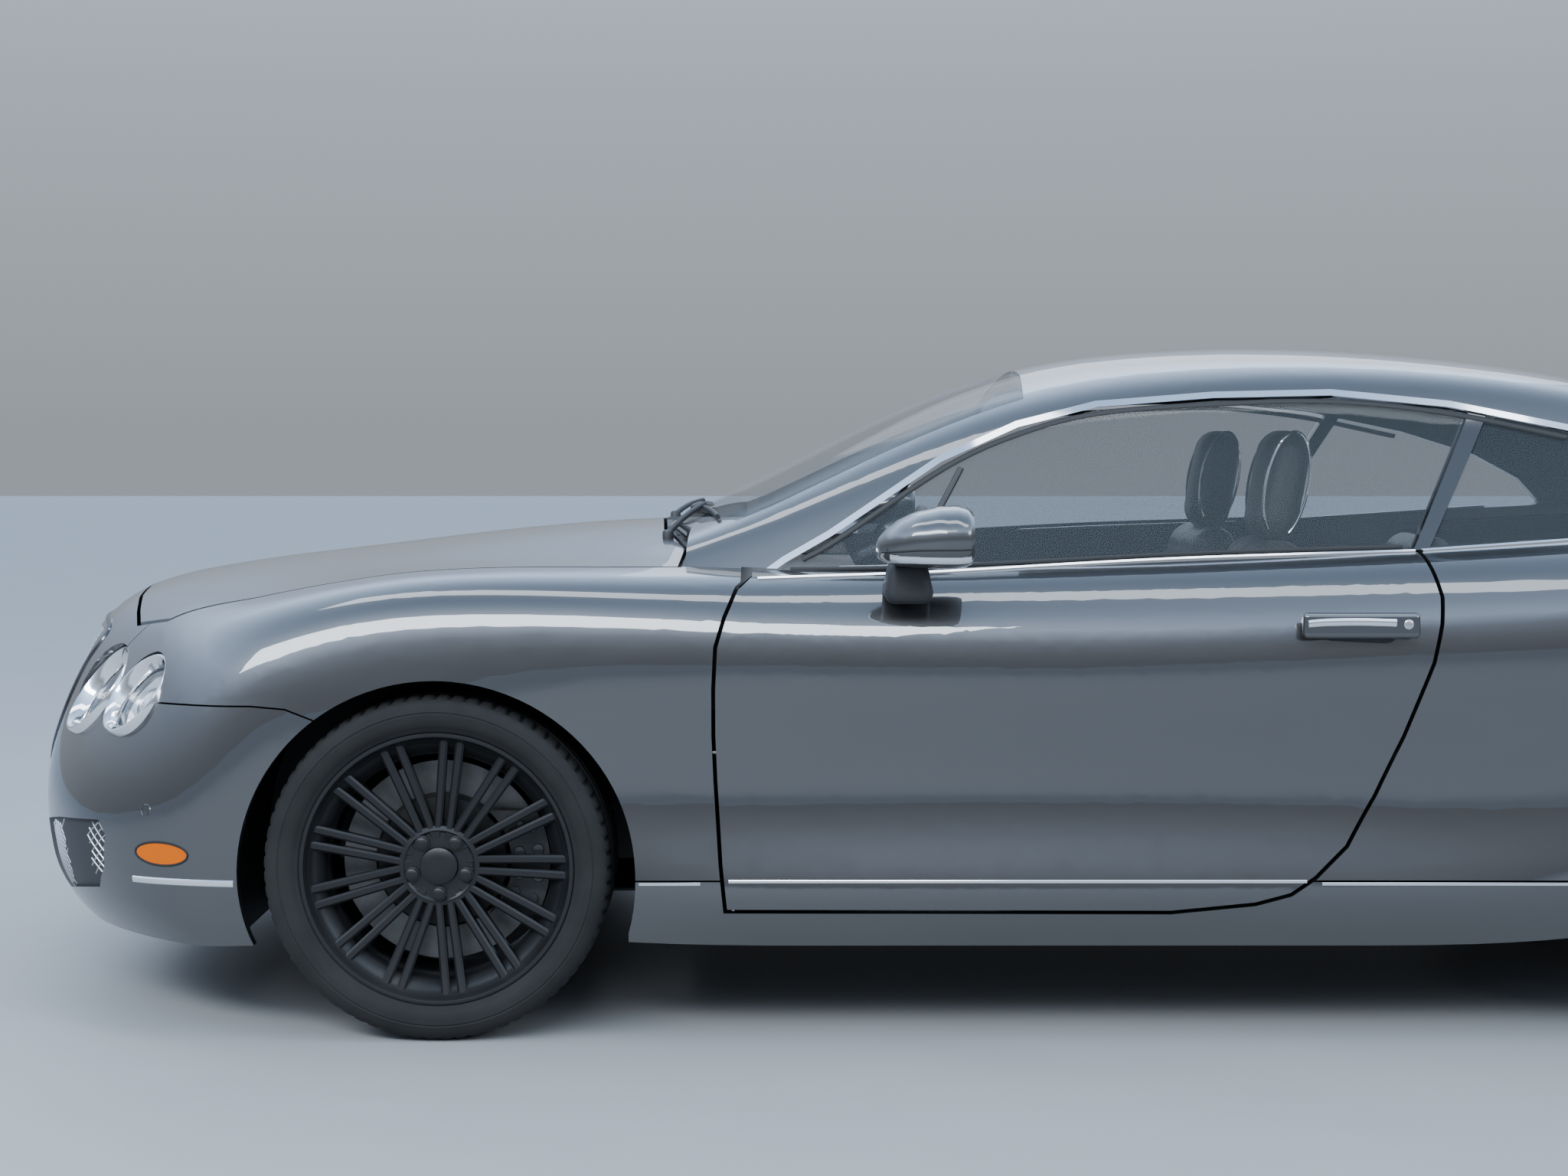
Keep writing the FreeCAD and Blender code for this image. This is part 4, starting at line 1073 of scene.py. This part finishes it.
# Cowl of the gauges and screen of the console: low and high corner, edge radius, segments
DASH_BOXES = [((FA + 0.79, -0.56, 0.872), (FA + 0.895, -0.22, 0.905), 0.012, 4),
              ((FA + 0.86, -0.12, 0.56), (FA + 0.905, 0.12, 0.7), 0.01, 3)]
LEVER = [(0.0, 0.085), (0.018, 0.083), (0.024, 0.066), (0.018, 0.048), (0.01, 0.035), (0.013, 0.0),
         (0.026, -0.002)]


def wheel_spokes(bm):
    down = Vector((0, 1, 0)).cross(COLUMN).normalized()
    for right, high in WHEEL_SPOKES:
        way = (Vector((0, right, 0)) - down * high).normalized()
        side = way.cross(COLUMN).normalized()
        for sign in (-1, 1):
            line = []
            for t in (0, 0.25, 0.5, 0.75, 1.0):
                p = WHEEL_CENTRE + way * (0.05 + 0.13 * t) - COLUMN * 0.012 * (1 - t)
                line.append((p + side * sign * (0.008 + 0.006 * t), COLUMN))
            strip(bm, line, 0.01, 0.006, 0.004)


def one_box(name, low, high, bevel, segments, look_name):
    bm = bmesh.new()
    box_mesh(bm, low, high, bevel, segments)
    return mesh_object(name, bm, look_name)


class COUPE_OT_cabin(bpy.types.Operator):
    """Steering wheel, dashboard band and vents, console top, armrest and gear lever"""
    bl_idname = "coupe.cabin"
    bl_label = "Cabin"

    def execute(self, context):
        place = facing(WHEEL_CENTRE, COLUMN)
        bm = bmesh.new()
        tube_ring(bm, WHEEL_CENTRE, COLUMN, *GRIP, flat=0.95)
        lathe(bm, WHEEL_BOSS, 40, place)
        wheel = mesh_object("wheel_rim_grip", bm, "leather", "steering_wheel")
        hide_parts("steering_wheel")
        bm = bmesh.new()
        wheel_spokes(bm)
        lathe(bm, WHEEL_SHROUD, 28, place)
        mesh_object("wheel_spokes", bm, "satin_metal", "steering_wheel")
        one_box("dash_band", (FA + 0.865, -0.69, 0.735), (FA + 0.884, 0.69, 0.792), 0.008, 3, "wood")
        rings, details = bmesh.new(), bmesh.new()
        for y in VENTS_Y:
            tube_ring(rings, (FA + 0.886, y, VENTS_Z), BACKWARD, 0.034, 0.005, 40, 10)
            for k in range(-2, 3):
                z = VENTS_Z + k * 0.012
                low, high = (FA + 0.878, y - 0.028, z - 0.002), (FA + 0.888, y + 0.028, z + 0.002)
                box_mesh(details, low, high, 0.001, 1)
        for low, high, bevel, segments in DASH_BOXES:
            box_mesh(details, low, high, bevel, segments)
        mesh_object("dash_vent_rings", rings, "chrome")
        mesh_object("dash_details", details, "black_plastic")
        one_box("console_top", (FA + 0.92, -0.085, 0.578), (FA + 1.42, 0.085, 0.586), 0.004, 2, "wood")
        rest = one_box("armrest", (FA + 1.45, -0.105, 0.575), (FA + 1.79, 0.105, 0.64), 0.025, 5, "leather")
        bm = bmesh.new()
        lathe(bm, LEVER, 24, facing((FA + 1.05, -0.02, 0.585), (0, 0, 1)))
        mesh_object("gear_lever", bm, "satin_metal")
        return {"FINISHED"}


# Tail


# Behind the tail, where lines are laid forward from
BEHIND_X = 2.6
TAIL_LAMP_Z = 0.816
# Outlines of the tail lamp's rim and of its two rings: middle y and height, half width, half height
TAIL_RIM = (-0.708, TAIL_LAMP_Z, 0.128, 0.063)
TAIL_RINGS = [(-0.765, TAIL_LAMP_Z, 0.04, 0.04), (-0.655, TAIL_LAMP_Z, 0.04, 0.04)]
EXHAUST_RIM = [(0.0455, 0.0), (0.0462, 0.0018), (0.049, 0.0026), (0.0518, 0.0018), (0.0526, 0.0),
               (0.052, -0.004), (0.0461, -0.004)]
# Bars round the plate: lowest and highest y, lowest and highest height; from and to in the car's length
PLATE_BARS = [(-0.267, 0.267, 0.497, 0.5045), (-0.267, 0.267, 0.6135, 0.621), (-0.267, -0.2595, 0.497, 0.621),
              (0.2595, 0.267, 0.497, 0.621)]
PLATE_X = (2.393, 2.4092)


def tail_ring(bm, outline, n, width, height):
    points = [(BEHIND_X, y, z) for y, z in oval(*outline, n)]
    strip(bm, lay(surface("tail_lamps"), points, (-1, 0, 0), 0.3), width, height, closed=True)


class COUPE_OT_tail(bpy.types.Operator):
    """Tail lamp rims and rings, exhaust rims and the frame round the blank plate"""
    bl_idname = "coupe.tail"
    bl_label = "Tail"

    def execute(self, context):
        rim, rings = bmesh.new(), bmesh.new()
        tail_ring(rim, TAIL_RIM, 48, 0.006, 0.0015)
        for outline in TAIL_RINGS:
            tail_ring(rings, outline, 36, 0.005, 0.0012)
        mirrored(rim)
        mirrored(rings)
        # Tail lamp rims in the chrome darkened as painted shade
        mesh_object("tail_lamp_rims", rim, "chrome_with_painted_shade")
        mesh_object("tail_lamp_rings", rings, "chrome")
        bm = bmesh.new()
        for y in (-0.56, 0.56):
            lathe(bm, EXHAUST_RIM, 56, facing((2.378, y, 0.33), BACKWARD), closed=True)
        mesh_object("exhaust_rims", bm, "chrome")
        bm = bmesh.new()
        for y0, y1, z0, z1 in PLATE_BARS:
            box_mesh(bm, (PLATE_X[0], y0, z0), (PLATE_X[1], y1, z1), 0.001, 1)
        mesh_object("plate_frame", bm, "black_plastic")
        return {"FINISHED"}


# Stage


# Studio sky: height of the view, from the horizon at 0 to straight up at 1, and colour
SKY = [(0.0, (0.33, 0.36, 0.4, 1)), (0.14, (0.45, 0.5, 0.57, 1)), (0.32, (0.66, 0.8, 1.04, 1)),
       (0.5, (1.75, 2.25, 3.05, 1)), (1.0, (0.55, 0.8, 1.2, 1))]
# Area lights: name, place, width, depth, power; they all point at one spot
LIGHTS = [("key", (-3.6, -6.0, 5.0), 9.0, 1.8, 680.0), ("top", (-0.8, -1.2, 6.5), 9.0, 1.3, 190.0),
          ("fill", (5.0, -5.0, 3.5), 4.0, 2.0, 150.0), ("back", (1.0, 6.0, 4.0), 5.0, 2.5, 40.0)]
LIGHT_COLOR = (0.88, 0.94, 1.0)
LIT_SPOT = Vector((0, 0, 0.6))


def stage_floor(color):
    mesh = bpy.data.meshes.new("floor_plane")
    bm = bmesh.new()
    bmesh.ops.create_grid(bm, x_segments=1, y_segments=1, size=40.0)
    bm.to_mesh(mesh)
    bm.free()
    mat = principled("floor_pale", color, roughness=0.6)
    mottle(mat, color, tuple(c * 0.97 for c in color), 3.0)
    mesh.materials.append(mat)
    floor = link("floor_plane", mesh)


def stage_sky():
    world = bpy.data.worlds.new("studio")
    bpy.context.scene.world = world
    world.use_nodes = True
    tree = world.node_tree
    coord = tree.nodes.new("ShaderNodeTexCoord")
    split = tree.nodes.new("ShaderNodeSeparateXYZ")
    ramp = tree.nodes.new("ShaderNodeValToRGB")
    tree.links.new(coord.outputs["Generated"], split.inputs["Vector"])
    tree.links.new(split.outputs["Z"], ramp.inputs["Fac"])
    stops = ramp.color_ramp.elements
    stops[0].color = SKY[0][1]
    stops[1].color = SKY[-1][1]
    for at, color in SKY[1:-1]:
        stops.new(at).color = color
    tree.links.new(ramp.outputs["Color"], tree.nodes["Background"].inputs["Color"])
    tree.nodes["Background"].inputs["Strength"].default_value = 1.0


class COUPE_OT_stage(bpy.types.Operator):
    """Pale floor, soft lights and the camera"""
    bl_idname = "coupe.stage"
    bl_label = "Stage"

    def execute(self, context):
        s = context.scene.coupe_stage
        stage_floor(s.floor_color)
        stage_sky()
        for name, place, width, deep, power in LIGHTS:
            data = bpy.data.lights.new(name, "AREA")
            data.shape = "RECTANGLE"
            data.size = width
            data.size_y = deep
            data.energy = power * s.light_power
            data.color = LIGHT_COLOR
            lamp = link(name, data)
            lamp.location = place
            lamp.rotation_euler = (LIT_SPOT - Vector(place)).to_track_quat("-Z", "Y").to_euler()
        cam = bpy.data.cameras.new("camera")
        cam.lens = s.lens
        cam.sensor_width = 36.0
        eye = link("camera", cam)
        eye.location = (s.camera_along, -s.camera_distance, s.camera_height)
        eye.rotation_euler = (math.pi / 2 - s.camera_pitch, 0.0, 0.0)
        context.scene.camera = eye
        return {"FINISHED"}


# Panel and run


class COUPE_PT_panel(bpy.types.Panel):
    bl_label = "Coupe car"
    bl_idname = "COUPE_PT_panel"
    bl_space_type = "VIEW_3D"
    bl_region_type = "UI"
    bl_category = "Coupe"

    def draw(self, context):
        layout = self.layout
        scene = context.scene
        for name, group in GROUPS.items():
            box = layout.box()
            for setting in group.__annotations__:
                box.prop(getattr(scene, name), setting)
        for op in OPERATORS:
            layout.operator(op.bl_idname)


GROUPS = {"coupe_paint": CoupePaint, "coupe_wheels": CoupeWheels, "coupe_trim": CoupeTrim,
          "coupe_cabin": CoupeCabin, "coupe_stage": CoupeStage}
OPERATORS = [
    COUPE_OT_bodywork, COUPE_OT_tyres, COUPE_OT_rims, COUPE_OT_brakes, COUPE_OT_brightwork, COUPE_OT_lamps,
    COUPE_OT_grilles, COUPE_OT_mirrors, COUPE_OT_wipers, COUPE_OT_seats, COUPE_OT_cabin, COUPE_OT_tail,
    COUPE_OT_stage,
]
CLASSES = [*GROUPS.values(), *OPERATORS, COUPE_PT_panel]


def register():
    for made in CLASSES:
        bpy.utils.register_class(made)
    for name, group in GROUPS.items():
        setattr(bpy.types.Scene, name, bpy.props.PointerProperty(type=group))


def unregister():
    for name in GROUPS:
        delattr(bpy.types.Scene, name)
    for made in reversed(CLASSES):
        bpy.utils.unregister_class(made)


def main():
    register()
    for op in OPERATORS:
        area, name = op.bl_idname.split(".")
        getattr(getattr(bpy.ops, area), name)()


if __name__ == "__main__":
    main()
